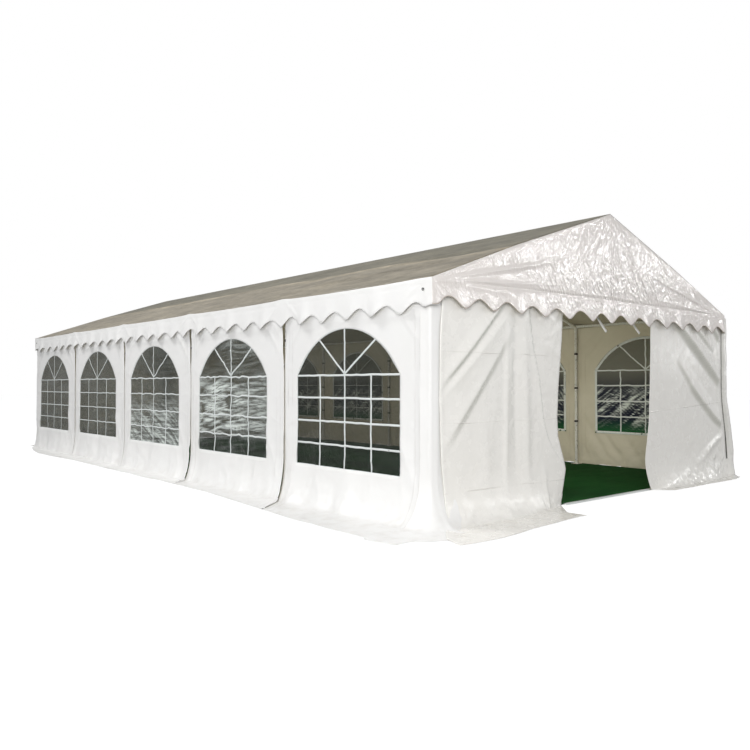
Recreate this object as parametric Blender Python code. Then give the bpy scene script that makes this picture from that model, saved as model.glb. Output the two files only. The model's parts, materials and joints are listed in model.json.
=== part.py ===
"""A frame marquee, 5 m wide and 10 m long: a galvanised tube frame under a white sheet cover.

+X is across the tent, +Y runs from the doorway to the back, +Z is up.
The origin is on the ground, in the middle of the tent. Lengths are in metres.
"""

import math

import bmesh
import bpy
from mathutils import Matrix, Vector

# Overall size
BAYS = 5
HALF_WIDTH = 2.5  # from the centre line to the outside of the valance
HALF_LENGTH = 5.07  # to the outside of the gables
EAVE_Z = 1.955  # underside of the roof cover, where the valance hangs from it
RIDGE_Z = 2.815
PURLIN_LIFT = 0.015  # how far the middle purlin holds the cover above a straight slope

# Sheet and clearances
CLOTH = 0.003
GAP = 0.0003  # between pieces that touch
SEAM = 0.012  # open slit between two wall panels

# Tubes
TUBE_R = 0.019
SLEEVE_R = 0.023
TUBE_SIDES = 12
SLEEVE_SIDES = 12
SOCKET_LENGTH = 0.09
SLEEVE_LENGTH = 0.12
SLEEVE_END = 0.012  # how far the end sleeves run past the axis of the first and last frame
RAIL_X = 2.455  # posts and eave rails, from the centre line
END_Y = 5.0  # first and last frame
CROSSBAR_DROP = 0.042  # below the eave rail's axis
FOOT_HALF = 0.06
FOOT_THICKNESS = 0.006

# Valances
SCALLOP_STEPS = 8
GABLE_SCALLOPS = 14
SIDE_SCALLOPS = 29
GABLE_NOTCH_Z = 1.81
GABLE_LOBE_Z = 1.725
SIDE_NOTCH_Z = 1.765
SIDE_LOBE_Z = 1.685

# Walls
WALL_TOP_Z = 1.93
FLARE_TOP_Z = 0.42  # below this the sheet swings outwards
FLARE_OUT = 0.20  # where it meets the ground
FLARE_STEPS = 6
SKIRT_OUT = 0.50  # outer edge of the ground flap
SHORT_SKIRT_OUT = 0.22  # the right-hand curtain's flap, which lies pulled in
CORNER_SLIT = 0.001  # between two walls where they meet at a corner
CORNER_MITRE = 1.0  # of the two flaps at the front left corner; the other corners are open
LEFT_CURTAIN_MITRE = -0.7  # of its free edge, whose flap draws back from the doorway
DOOR_LEFT_X = -0.70
DOOR_RIGHT_X = 0.82
BACK_DOOR_HALF = 0.76
ROLL_R = 0.045

# Windows
WINDOW_HALF_WIDTH = 0.73
WINDOW_SILL_Z = 0.37
WINDOW_SPRING_Z = 1.20
WINDOW_RISE = 0.42
WINDOW_SHIFT = 0.05  # off the middle of a panel; the right-hand panels are turned round
RIGHT_WINDOW_LIFT = 0.11  # the right-hand panels hang higher
ARCH_STEPS = 16
FILM = 0.002
FILM_MARGIN = 0.04  # how far the clear film laps over the panel's edge

# Floor covering
CARPET_HALF_LENGTH = 5.01
CARPET = 0.008

# Directions that walls face: the turn about +Z from facing +X
RIGHT, BACK, LEFT, FRONT = 0.0, math.pi / 2, math.pi, -math.pi / 2


def material(name, color, roughness, metallic=0.0, alpha=1.0):
    """One plain surface."""
    made = bpy.data.materials.new(name)
    made.use_nodes = True
    surface = made.node_tree.nodes["Principled BSDF"]
    surface.inputs["Base Color"].default_value = (*color, 1.0)
    surface.inputs["Roughness"].default_value = roughness
    surface.inputs["Metallic"].default_value = metallic
    surface.inputs["Alpha"].default_value = alpha
    return made


def make_materials():
    return {
        "wall": material("wall_sheet", (0.86, 0.86, 0.85), 0.35),
        "roof": material("roof_sheet", (0.37, 0.34, 0.29), 0.5),
        "film": material("window_film", (0.75, 0.8, 0.78), 0.08, alpha=0.35),
        "steel": material("galvanised_steel", (0.62, 0.63, 0.62), 0.38, metallic=1.0),
        "carpet": material("green_carpet", (0.02, 0.12, 0.035), 0.95),
    }


def add_object(name, mesh_maker, surface):
    """A new object whose mesh is drawn by mesh_maker into an empty bmesh."""
    shape = bmesh.new()
    mesh_maker(shape)
    bmesh.ops.recalc_face_normals(shape, faces=shape.faces)
    mesh = bpy.data.meshes.new(name)
    shape.to_mesh(mesh)
    shape.free()
    mesh.materials.append(surface)
    thing = bpy.data.objects.new(name, mesh)
    bpy.context.scene.collection.objects.link(thing)
    return thing


def draw_prism(shape, outline, along):
    """A flat outline of 3-D points, extruded by the vector along."""
    face = shape.faces.new([shape.verts.new(point) for point in outline])
    grown = bmesh.ops.extrude_face_region(shape, geom=[face])
    moved = [item for item in grown["geom"] if isinstance(item, bmesh.types.BMVert)]
    bmesh.ops.translate(shape, verts=moved, vec=along)


def draw_tube(shape, start, end, radius, sides):
    """A round bar from start to end."""
    start, end = Vector(start), Vector(end)
    run = end - start
    turn = run.to_track_quat("Z", "Y").to_matrix().to_4x4()
    bmesh.ops.create_cone(
        shape,
        cap_ends=True,
        segments=sides,
        radius1=radius,
        radius2=radius,
        depth=run.length,
        matrix=Matrix.Translation((start + end) / 2) @ turn,
    )


def draw_box(shape, low, high):
    """A block between two corners."""
    low, high = Vector(low), Vector(high)
    size = high - low
    bmesh.ops.create_cube(
        shape,
        size=1.0,
        matrix=Matrix.Translation((low + high) / 2) @ Matrix.Diagonal((*size, 1.0)),
    )


def add_helper(name, mesh_maker):
    """A shape that only joins or cuts another one."""
    helper = add_object(name, mesh_maker, bpy.data.materials["galvanised_steel"])
    helper.hide_render = True
    helper.display_type = "WIRE"
    return helper


def combine(thing, helper, operation):
    change = thing.modifiers.new(helper.name, "BOOLEAN")
    change.operation = operation
    change.object = helper


MIDDLE_X = HALF_WIDTH / 2
MIDDLE_Z = (EAVE_Z + RIDGE_Z) / 2 + PURLIN_LIFT
UPPER_SLOPE = math.atan((RIDGE_Z - MIDDLE_Z) / MIDDLE_X)
LOWER_SLOPE = math.atan((MIDDLE_Z - EAVE_Z) / MIDDLE_X)
RAFTER_ANGLE = math.atan((RIDGE_Z - EAVE_Z) / HALF_WIDTH)


def under_roof(x):
    """Height of the roof cover's underside at a distance x from the centre line."""
    x = abs(x)
    if x < MIDDLE_X:
        return RIDGE_Z - x * math.tan(UPPER_SLOPE)
    return MIDDLE_Z - (x - MIDDLE_X) * math.tan(LOWER_SLOPE)


RIDGE_RAIL_Z = RIDGE_Z - (SLEEVE_R + GAP) / math.cos(UPPER_SLOPE)
EAVE_RAIL_Z = under_roof(RAIL_X) - (SLEEVE_R + GAP) / math.cos(LOWER_SLOPE)
PURLIN_Z = MIDDLE_Z - (TUBE_R + GAP) / math.cos(UPPER_SLOPE)
CROSSBAR_Z = EAVE_RAIL_Z - CROSSBAR_DROP
SOCKET_BOTTOM_Z = EAVE_RAIL_Z - SOCKET_LENGTH
WALL_IN = RAIL_X + SLEEVE_R + GAP  # inner face of the side walls
END_WALL_IN = END_Y + SLEEVE_R + GAP  # inner face of the curtains and back wall
CARPET_HALF_WIDTH = RAIL_X - FOOT_HALF - GAP


def frame_y(index):
    return -END_Y + 2 * END_Y * index / BAYS


def rafter_point(side, distance):
    """A point on a rafter's axis, at a distance along it from the eave rail's plane."""
    below = 2 * TUBE_R + GAP
    middle_x = MIDDLE_X - below * math.sin(RAFTER_ANGLE)
    middle_z = PURLIN_Z - below * math.cos(RAFTER_ANGLE)
    x = RAIL_X - distance * math.cos(RAFTER_ANGLE)
    return side * x, middle_z + (middle_x - x) * math.tan(RAFTER_ANGLE)


RAFTER_RUN = RAIL_X / math.cos(RAFTER_ANGLE)  # from the eave rail's plane to the middle


def make_posts(surface):
    """Twelve uprights, each on a welded foot plate."""
    for side, side_name in ((-1, "left"), (1, "right")):
        for index in range(BAYS + 1):
            center = Vector((side * RAIL_X, frame_y(index), 0.0))

            def draw_post(shape, center=center):
                draw_tube(
                    shape,
                    center + Vector((0, 0, FOOT_THICKNESS / 2)),
                    center + Vector((0, 0, SOCKET_BOTTOM_Z - GAP)),
                    TUBE_R,
                    TUBE_SIDES,
                )

            def draw_foot(shape, center=center):
                draw_box(
                    shape,
                    center - Vector((FOOT_HALF, FOOT_HALF, 0)),
                    center + Vector((FOOT_HALF, FOOT_HALF, FOOT_THICKNESS)),
                )

            name = f"post_{side_name}_{index + 1}"
            post = add_object(name, draw_post, surface)
            combine(post, add_helper(f"{name}_foot", draw_foot), "UNION")


def make_rafters(surface):
    """Twelve sloping tubes, from the eave rails up to the ridge rail."""
    for side, side_name in ((-1, "left"), (1, "right")):
        low_x, low_z = rafter_point(side, SOCKET_LENGTH + GAP)
        high_x, high_z = rafter_point(side, RAFTER_RUN - SOCKET_LENGTH - GAP)
        for index in range(BAYS + 1):
            y = frame_y(index)
            add_object(
                f"rafter_{side_name}_{index + 1}",
                lambda shape, y=y: draw_tube(
                    shape, (low_x, y, low_z), (high_x, y, high_z), TUBE_R, TUBE_SIDES
                ),
                surface,
            )


def draw_sleeve(shape, x, y, z):
    """The part of a fitting that the long rail runs through."""
    reach = SLEEVE_LENGTH / 2
    first = max(y - reach, -END_Y - SLEEVE_END)
    last = min(y + reach, END_Y + SLEEVE_END)
    draw_tube(shape, (x, first, z), (x, last, z), SLEEVE_R, SLEEVE_SIDES)


def make_eave_rail(side, side_name, surface):
    """Five tubes in line with the fittings that take the posts, rafters and crossbars."""
    x = side * RAIL_X
    rail = add_object(
        f"eave_rail_{side_name}",
        lambda shape: draw_tube(
            shape, (x, -END_Y, EAVE_RAIL_Z), (x, END_Y, EAVE_RAIL_Z), TUBE_R, TUBE_SIDES
        ),
        surface,
    )
    inner_x, inner_z = rafter_point(side, SOCKET_LENGTH)
    start_x, start_z = rafter_point(side, 0.0)
    for index in range(BAYS + 1):
        y = frame_y(index)
        sockets = {
            "sleeve": lambda shape, y=y: draw_sleeve(shape, x, y, EAVE_RAIL_Z),
            "post_socket": lambda shape, y=y: draw_tube(
                shape, (x, y, EAVE_RAIL_Z), (x, y, SOCKET_BOTTOM_Z), SLEEVE_R, SLEEVE_SIDES
            ),
            "rafter_socket": lambda shape, y=y: draw_tube(
                shape, (start_x, y, start_z), (inner_x, y, inner_z), SLEEVE_R, SLEEVE_SIDES
            ),
        }
        if index in (0, BAYS):
            end_x = side * (RAIL_X - SOCKET_LENGTH)
            sockets["crossbar_socket"] = lambda shape, y=y, end_x=end_x: draw_tube(
                shape, (x, y, CROSSBAR_Z), (end_x, y, CROSSBAR_Z), SLEEVE_R, SLEEVE_SIDES
            )
        for socket_name, draw in sockets.items():
            helper = add_helper(f"{side_name}_{socket_name}_{index + 1}", draw)
            combine(rail, helper, "UNION")


def make_ridge_rail(surface):
    """Five tubes in line under the ridge, with the fittings that take the rafters."""
    rail = add_object(
        "ridge_rail",
        lambda shape: draw_tube(
            shape, (0, -END_Y, RIDGE_RAIL_Z), (0, END_Y, RIDGE_RAIL_Z), TUBE_R, TUBE_SIDES
        ),
        surface,
    )
    for index in range(BAYS + 1):
        y = frame_y(index)
        sleeve = add_helper(
            f"ridge_sleeve_{index + 1}",
            lambda shape, y=y: draw_sleeve(shape, 0, y, RIDGE_RAIL_Z),
        )
        combine(rail, sleeve, "UNION")
        for side, side_name in ((-1, "left"), (1, "right")):
            low_x, low_z = rafter_point(side, RAFTER_RUN - SOCKET_LENGTH)
            top_x, top_z = rafter_point(side, RAFTER_RUN)
            socket = add_helper(
                f"ridge_socket_{side_name}_{index + 1}",
                lambda shape, y=y, low=(low_x, low_z), top=(top_x, top_z): draw_tube(
                    shape, (top[0], y, top[1]), (low[0], y, low[1]), SLEEVE_R, SLEEVE_SIDES
                ),
            )
            combine(rail, socket, "UNION")


def make_long_tubes(surface):
    """The middle purlins, which lie on the rafters, and the two end crossbars."""
    for side, side_name in ((-1, "left"), (1, "right")):
        x = side * MIDDLE_X
        add_object(
            f"purlin_{side_name}",
            lambda shape, x=x: draw_tube(
                shape, (x, -END_Y, PURLIN_Z), (x, END_Y, PURLIN_Z), TUBE_R, TUBE_SIDES
            ),
            surface,
        )
    reach = RAIL_X - SOCKET_LENGTH - GAP
    for end, end_name in ((-1, "front"), (1, "back")):
        y = end * END_Y
        add_object(
            f"crossbar_{end_name}",
            lambda shape, y=y: draw_tube(
                shape, (-reach, y, CROSSBAR_Z), (reach, y, CROSSBAR_Z), TUBE_R, TUBE_SIDES
            ),
            surface,
        )


def make_roof(surface):
    """One sloping sheet on each side of the ridge seam."""
    rise = CLOTH / math.cos(RAFTER_ANGLE)
    for side, side_name in ((-1, "left"), (1, "right")):
        stations = (GAP / 2, MIDDLE_X, HALF_WIDTH)
        below = [(side * x, -HALF_LENGTH, under_roof(x)) for x in stations]
        above = [(side * x, -HALF_LENGTH, under_roof(x) + rise) for x in reversed(stations)]
        add_object(
            f"roof_{side_name}",
            lambda shape, outline=below + above: draw_prism(
                shape, outline, (0, 2 * HALF_LENGTH, 0)
            ),
            surface,
        )


def scallop_edge(half_length, count, notch_z, lobe_z):
    """Points along a wavy lower edge, from +half_length to -half_length: low at both ends."""
    middle, swing = (notch_z + lobe_z) / 2, (notch_z - lobe_z) / 2
    steps = count * SCALLOP_STEPS
    edge = []
    for step in range(steps + 1):
        share = step / steps
        height = middle - swing * math.cos(2 * math.pi * count * share)
        edge.append((half_length * (1 - 2 * share), height))
    return edge


def make_valances(surface):
    """The strips with a wavy edge that hang from the eaves."""
    half = HALF_LENGTH - CLOTH - GAP
    top = EAVE_Z - GAP
    edge = scallop_edge(half, SIDE_SCALLOPS, SIDE_NOTCH_Z, SIDE_LOBE_Z)
    for side, side_name in ((-1, "left"), (1, "right")):
        x = side * HALF_WIDTH
        outline = [(x, -half, top), (x, half, top)] + [(x, y, z) for y, z in edge]
        add_object(
            f"valance_{side_name}",
            lambda shape, outline=outline, side=side: draw_prism(
                shape, outline, (-side * CLOTH, 0, 0)
            ),
            surface,
        )


def make_gables(surface):
    """The triangles that close the roof at both ends, each with its own wavy edge."""
    edge = scallop_edge(HALF_WIDTH, GABLE_SCALLOPS, GABLE_NOTCH_Z, GABLE_LOBE_Z)
    tops = (-HALF_WIDTH, -MIDDLE_X, 0.0, MIDDLE_X, HALF_WIDTH)
    for end, end_name in ((-1, "front"), (1, "back")):
        y = end * HALF_LENGTH
        outline = [(x, y, under_roof(x) - GAP) for x in tops] + [(x, y, z) for x, z in edge]
        add_object(
            f"gable_{end_name}",
            lambda shape, outline=outline, end=end: draw_prism(
                shape, outline, (0, -end * CLOTH, 0)
            ),
            surface,
        )


def wall_profile(skirt_out):
    """Cross-section of a hanging sheet that swings out to lie on the ground.

    Points are (distance outwards, height) of the inner face and then of the outer face.
    """
    foot_out = min(FLARE_OUT, 0.75 * skirt_out)
    inner = [(0.0, WALL_TOP_Z)]
    for step in range(FLARE_STEPS + 1):
        share = step / FLARE_STEPS
        inner.append((foot_out * share**2, FLARE_TOP_Z * (1 - share) ** 1.35))
    inner.append((skirt_out, 0.0))
    outer = []
    for index, (out, height) in enumerate(inner):
        before = inner[max(index - 1, 0)]
        after = inner[min(index + 1, len(inner) - 1)]
        run = Vector((after[0] - before[0], after[1] - before[1])).normalized()
        outer.append((out - run.y * CLOTH, height + run.x * CLOTH))
    outer[0] = (CLOTH, WALL_TOP_Z)
    outer[-1] = (skirt_out, CLOTH)
    return inner + list(reversed(outer))


def make_wall_sheet(name, facing, inner_face, edges, skirt_out, surface):
    """A sheet that hangs at inner_face from the middle of the tent.

    Each of its two edges is (place along the wall, mitre). The place grows to the left as
    seen from inside the tent. A mitre of 1 or -1 moves the edge by as much as the sheet
    swings outwards, so that two walls meet on the diagonal of their corner.
    """
    turn = Matrix.Rotation(facing, 4, "Z")
    profile = wall_profile(skirt_out)

    def draw(shape):
        rows = [
            [
                shape.verts.new(
                    turn @ Vector((inner_face + out, place + mitre * max(out - CLOTH, 0.0), height))
                )
                for out, height in profile
            ]
            for place, mitre in edges
        ]
        for row in rows:
            shape.faces.new(row)
        for index in range(len(profile)):
            after = (index + 1) % len(profile)
            shape.faces.new((rows[0][index], rows[0][after], rows[1][after], rows[1][index]))

    return add_object(name, draw, surface)


def window_lift(side):
    return RIGHT_WINDOW_LIFT if side > 0 else 0.0


def window_outline(side):
    """Points (along, height) of an arched window."""
    arch_r = (WINDOW_HALF_WIDTH**2 + WINDOW_RISE**2) / (2 * WINDOW_RISE)
    center_z = WINDOW_SPRING_Z + WINDOW_RISE - arch_r
    sweep = math.asin(WINDOW_HALF_WIDTH / arch_r)
    lift = window_lift(side)
    sill = WINDOW_SILL_Z + lift
    outline = [(-WINDOW_HALF_WIDTH, sill), (WINDOW_HALF_WIDTH, sill)]
    for step in range(ARCH_STEPS + 1):
        angle = sweep * (1 - 2 * step / ARCH_STEPS)
        height = center_z + arch_r * math.cos(angle) + lift
        outline.append((arch_r * math.sin(angle), height))
    return outline


def make_side_walls(wall):
    """Five window panels on each side; the end ones run on to the corners."""
    corner_y = END_WALL_IN - CORNER_SLIT
    for facing, side, side_name in ((LEFT, -1, "left"), (RIGHT, 1, "right")):
        for bay in range(BAYS):
            edges = [(frame_y(bay) + SEAM / 2, 0), (frame_y(bay + 1) - SEAM / 2, 0)]
            if bay == 0:
                edges[0] = (-corner_y, -CORNER_MITRE if side < 0 else 0)
            if bay == BAYS - 1:
                edges[1] = (corner_y, 0)
            edges = [(side * place, side * mitre) for place, mitre in edges]
            number = bay + 1
            name = f"side_panel_{side_name}_{number}"
            panel = make_wall_sheet(name, facing, WALL_IN, edges, SKIRT_OUT, wall)
            window_y = (frame_y(bay) + frame_y(bay + 1)) / 2 - side * WINDOW_SHIFT
            hole = [
                (side * (WALL_IN - CLOTH), window_y + along, height)
                for along, height in window_outline(side)
            ]
            cutter = add_helper(
                f"window_hole_{side_name}_{number}",
                lambda shape, hole=hole, side=side: draw_prism(
                    shape, hole, (side * 3 * CLOTH, 0, 0)
                ),
            )
            combine(panel, cutter, "DIFFERENCE")


def make_window_films(surface):
    """The clear film behind each side's windows, in one strip."""
    last_window_y = (frame_y(BAYS - 1) + frame_y(BAYS)) / 2 + WINDOW_SHIFT
    reach = last_window_y + WINDOW_HALF_WIDTH + FILM_MARGIN
    bottom = WINDOW_SILL_Z - FILM_MARGIN
    top = WINDOW_SPRING_Z + WINDOW_RISE + FILM_MARGIN
    for side, side_name in ((-1, "left"), (1, "right")):
        near, far = sorted((side * (WALL_IN - GAP - FILM), side * (WALL_IN - GAP)))
        low = (near, -reach, bottom + window_lift(side))
        high = (far, reach, top + window_lift(side))
        add_object(
            f"window_film_{side_name}",
            lambda shape, low=low, high=high: draw_box(shape, low, high),
            surface,
        )


def make_end_walls(wall):
    """The drawn curtains beside the doorway, and the closed back wall."""
    corner = WALL_IN - CORNER_SLIT
    sheets = {
        "curtain_left": (
            FRONT,
            (-corner, -CORNER_MITRE),
            (DOOR_LEFT_X, LEFT_CURTAIN_MITRE),
            SKIRT_OUT,
        ),
        "curtain_right": (
            FRONT,
            (DOOR_RIGHT_X, 0),
            (corner, 0),
            SHORT_SKIRT_OUT,
        ),
        "back_panel_left": (BACK, (BACK_DOOR_HALF + GAP, 0), (corner, 0), SKIRT_OUT),
        "back_door": (BACK, (-BACK_DOOR_HALF, 0), (BACK_DOOR_HALF, 0), SKIRT_OUT),
        "back_panel_right": (BACK, (-corner, 0), (-BACK_DOOR_HALF - GAP, 0), SKIRT_OUT),
    }
    for name, (facing, first, last, skirt_out) in sheets.items():
        make_wall_sheet(name, facing, END_WALL_IN, (first, last), skirt_out, wall)


def make_door_roll(surface):
    """The door panel, rolled up against the inside of the front crossbar."""
    y = -END_Y + TUBE_R + ROLL_R + GAP
    add_object(
        "door_roll",
        lambda shape: draw_tube(
            shape, (DOOR_LEFT_X, y, CROSSBAR_Z), (DOOR_RIGHT_X, y, CROSSBAR_Z), ROLL_R, TUBE_SIDES
        ),
        surface,
    )


def make_carpet(surface):
    """The green floor covering that ends at the doorway."""
    add_object(
        "floor_carpet",
        lambda shape: draw_box(
            shape,
            (-CARPET_HALF_WIDTH, -CARPET_HALF_LENGTH, 0.0),
            (CARPET_HALF_WIDTH, CARPET_HALF_LENGTH, CARPET),
        ),
        surface,
    )


def main():
    for thing in list(bpy.data.objects):
        bpy.data.objects.remove(thing)
    surfaces = make_materials()
    make_posts(surfaces["steel"])
    make_rafters(surfaces["steel"])
    make_eave_rail(-1, "left", surfaces["steel"])
    make_eave_rail(1, "right", surfaces["steel"])
    make_ridge_rail(surfaces["steel"])
    make_long_tubes(surfaces["steel"])
    make_roof(surfaces["roof"])
    make_valances(surfaces["wall"])
    make_gables(surfaces["wall"])
    make_side_walls(surfaces["wall"])
    make_window_films(surfaces["film"])
    make_end_walls(surfaces["wall"])
    make_door_roll(surfaces["wall"])
    make_carpet(surfaces["carpet"])


main()
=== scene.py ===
# %% [markdown]
# # A frame marquee, dressed for its picture
#
# A marquee like this one is a cage of galvanised tubes with a cover of coated sheet tied over
# it. The tubes are already right in the CAD model, so they stay and only get a finish. The
# cover is soft: it creases, billows and lies in a flap on the ground, so every sheet is made
# again here and stands for its CAD solid. All the sheets are surfaces worked out with numpy,
# because a fold is then one short formula that can be moved or made deeper.

# %% Load the frame
import json

import bpy
import numpy as np
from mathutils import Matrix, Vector

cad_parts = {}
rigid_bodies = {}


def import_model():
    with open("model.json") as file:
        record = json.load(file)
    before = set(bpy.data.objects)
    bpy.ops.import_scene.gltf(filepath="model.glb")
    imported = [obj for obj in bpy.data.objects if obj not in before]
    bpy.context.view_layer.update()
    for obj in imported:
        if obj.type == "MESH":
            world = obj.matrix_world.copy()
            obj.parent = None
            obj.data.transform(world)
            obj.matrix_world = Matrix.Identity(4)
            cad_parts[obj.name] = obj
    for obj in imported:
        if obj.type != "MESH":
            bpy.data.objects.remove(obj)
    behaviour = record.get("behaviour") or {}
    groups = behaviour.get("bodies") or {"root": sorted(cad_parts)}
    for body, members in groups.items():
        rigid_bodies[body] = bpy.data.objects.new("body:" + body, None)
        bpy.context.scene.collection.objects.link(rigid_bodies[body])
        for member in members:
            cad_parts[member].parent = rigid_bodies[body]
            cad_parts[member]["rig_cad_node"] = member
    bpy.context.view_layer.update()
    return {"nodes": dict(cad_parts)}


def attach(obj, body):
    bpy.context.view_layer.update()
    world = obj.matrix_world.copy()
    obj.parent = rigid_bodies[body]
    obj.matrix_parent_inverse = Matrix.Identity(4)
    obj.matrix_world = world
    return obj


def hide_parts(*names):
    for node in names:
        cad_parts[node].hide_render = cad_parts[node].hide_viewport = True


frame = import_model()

# %% [markdown]
# ## The camera
#
# The long wall on the left runs away to the back, and the doorway shows on the right. A camera
# could be moved by hand until the picture looks right. Here its place and lens were worked out
# from the tent's own straight lines, its posts, eaves, ridge and window bars, because that puts
# every edge where it belongs at once.

# %% The camera
FILM_WIDTH = 36.0
PICTURE_WIDTH, FOCAL_LENGTH = 750, 739.35  # in pixels of the picture
camera_data = bpy.data.cameras.new("camera")
camera_data.sensor_width = FILM_WIDTH
camera_data.lens = FILM_WIDTH * FOCAL_LENGTH / PICTURE_WIDTH
camera = bpy.data.objects.new("camera", camera_data)
camera.location = (-6.552, -9.113, 1.117)
camera.rotation_euler = np.radians((90.774, 0.0, -40.627))
bpy.context.scene.collection.objects.link(camera)
bpy.context.scene.camera = camera
bpy.context.scene.view_settings.view_transform = "Standard"
print("lens", round(camera_data.lens, 1), "mm")

# %% [markdown]
# ## Light and floor
#
# White sheet under soft light is nearly all one white, so its shape only shows by small
# differences in brightness. An even dome of light would be the simplest, but it hides every
# fold. So a big soft lamp stands in front of the left corner: it makes the long wall the
# brightest, and fades along it and across the front. Small lamps far to the right do little but
# glint in the creases of the gable and of the right curtain's foot, and a broader one brings out
# that curtain's folds without a glint. Two long lamps light the room inside. The world is dimmer
# as a light than as a background, which keeps the tent darker than the page behind it.

# %% The lamps
SIDE_NAMES = {-1: "left", 1: "right"}


def soft_light(name, place, aim, size, power, tint=(1.0, 1.0, 1.0), glints=True):
    """A flat lamp at place that shines at aim; the camera never sees it, nor gloss without glints."""
    lamp = bpy.data.lights.new(name, "AREA")
    lamp.shape = "RECTANGLE"
    lamp.size, lamp.size_y = size
    lamp.energy = power
    lamp.color = tint
    thing = bpy.data.objects.new(name, lamp)
    thing.location = place
    thing.rotation_euler = (Vector(aim) - Vector(place)).to_track_quat("-Z", "Y").to_euler()
    thing.visible_camera = False
    thing.visible_glossy = glints
    bpy.context.scene.collection.objects.link(thing)


soft_light("key_light", (-7.4, -9.8, 3.4), (-2.0, -4.4, 1.0), (3.2, 3.2), 300)
soft_light("side_light", (-14.0, -2.0, 4.5), (-2.4, 1.0, 1.0), (4.0, 4.0), 70)
soft_light("top_light", (-6.5, 1.5, 9.0), (-2.5, -1.0, 1.0), (3.0, 3.0), 430)
glint_places = ((5.6, -11.0, 3.9), (8.4, -10.6, 4.0), (12.6, -10.6, 4.3), (9.6, -9.2, 6.2))
for number, (place, power) in enumerate(zip(glint_places, (30, 38, 36, 30))):
    soft_light(f"glint_light_{number + 1}", place, (0.3, -5.0, 2.0), (0.35, 0.35), power)
soft_light("foot_light", (9.0, -8.4, 1.8), (1.8, -5.2, 0.2), (0.35, 0.35), 9)
soft_light("fill_light", (9.5, -8.5, 6.0), (1.6, -5.0, 1.2), (1.2, 1.2), 62, glints=False)
for side, side_name in SIDE_NAMES.items():
    soft_light(f"room_light_{side_name}", (0.0, 0.0, 0.8), (side, 0.0, 0.8), (9.0, 0.5), 56,
               (1.0, 0.95, 0.82), glints=False)

# %% The world
world = bpy.data.worlds.new("studio")
world.use_nodes = True
world_tree = world.node_tree
page, sky = world_tree.nodes["Background"], world_tree.nodes.new("ShaderNodeBackground")
page.inputs["Color"].default_value = (1.0, 1.0, 1.0, 1.0)
sky.inputs["Color"].default_value = (0.97, 0.985, 1.0, 1.0)
sky.inputs["Strength"].default_value = 0.47
seen = world_tree.nodes.new("ShaderNodeLightPath")
choice = world_tree.nodes.new("ShaderNodeMixShader")
world_tree.links.new(seen.outputs["Is Camera Ray"], choice.inputs[0])
world_tree.links.new(sky.outputs[0], choice.inputs[1])
world_tree.links.new(page.outputs[0], choice.inputs[2])
world_tree.links.new(choice.outputs[0], world_tree.nodes["World Output"].inputs[0])
bpy.context.scene.world = world
page_strength, sky_strength = (node.inputs["Strength"].default_value for node in (page, sky))
print("page", round(page_strength, 2), "and sky", round(sky_strength, 2))

# %% [markdown]
# ## Nodes for the finishes
#
# A finish is a small network of nodes: a pattern, which changes the colour a little, and the
# same or another pattern as height, which the Bump node turns into relief too fine to model.
# Such a network can be drawn by hand in the editor. Here small helpers make one or two nodes
# each, so that the finishes below read as a list of what is on the real surface.

# %% Making nodes
def start_finish(name, roughness, **sockets):
    """A new material with its one shader; what is the same all over is set straight on it."""
    made = bpy.data.materials.new(name)
    made.use_nodes = True
    shader = made.node_tree.nodes["Principled BSDF"]
    shader.inputs["Roughness"].default_value = roughness
    for socket, value in sockets.items():
        shader.inputs[socket.replace("_", " ")].default_value = value
    return made, made.node_tree, shader


def node(tree, kind, settings=None, **inputs):
    """One node; settings are its own choices, and inputs its sockets by name."""
    made = tree.nodes.new(f"ShaderNode{kind}")
    for key, value in (settings or {}).items():
        setattr(made, key, value)
    for key, value in inputs.items():
        socket = made.inputs[key.replace("_", " ")]
        if isinstance(value, bpy.types.NodeSocket):
            tree.links.new(value, socket)
        else:
            socket.default_value = value
    return made


def places(tree, scale=(1.0, 1.0, 1.0), source="Object"):
    """Where a point lies on the piece in metres, stretched by scale."""
    found = node(tree, "TexCoord").outputs[source]
    return node(tree, "Mapping", None, Vector=found, Scale=scale).outputs[0]


def number_on(tree, name):
    """The number of that name which the mesh carries at each point, or 0 where it carries none."""
    return node(tree, "Attribute", {"attribute_name": name}).outputs["Fac"]


print("helpers that make nodes:", start_finish.__name__, node.__name__, places.__name__, number_on.__name__)


# %% Patterns
def grain(tree, where, scale, detail=3.0, roughness=0.55):
    """Cloudy noise from 0 to 1."""
    return node(tree, "TexNoise", None, Vector=where, Scale=scale, Detail=detail,
                Roughness=roughness).outputs[0]


def bent(tree, where, scale, amount):
    """The same places pushed about by noise, so that straight patterns turn crooked."""
    push = node(tree, "TexNoise", None, Vector=where, Scale=scale, Detail=3.0).outputs["Color"]
    middle = node(tree, "VectorMath", {"operation": "SUBTRACT"})
    tree.links.new(push, middle.inputs[0])
    middle.inputs[1].default_value = (0.5, 0.5, 0.5)
    small = node(tree, "VectorMath", {"operation": "SCALE"}, Scale=amount)
    tree.links.new(middle.outputs[0], small.inputs[0])
    total = node(tree, "VectorMath", {"operation": "ADD"})
    tree.links.new(where, total.inputs[0])
    tree.links.new(small.outputs[0], total.inputs[1])
    return total.outputs[0]


def creases(tree, where, scale, detail=4.0):
    """Sharp crossing creases: noise folded back on itself wherever it passes through nothing."""
    settings = {"noise_type": "RIDGED_MULTIFRACTAL", "normalize": True}
    return node(tree, "TexNoise", settings, Vector=where, Scale=scale, Detail=detail,
                Roughness=0.5, Lacunarity=2.1).outputs[0]


def turned(tree, where, angle, stretch):
    """Places turned by angle about Y and stretched, for patterns that run aslant on a front wall."""
    made = node(tree, "Mapping", None, Vector=where, Rotation=(0.0, angle, 0.0))
    return node(tree, "Mapping", None, Vector=made.outputs[0], Scale=stretch).outputs[0]


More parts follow.
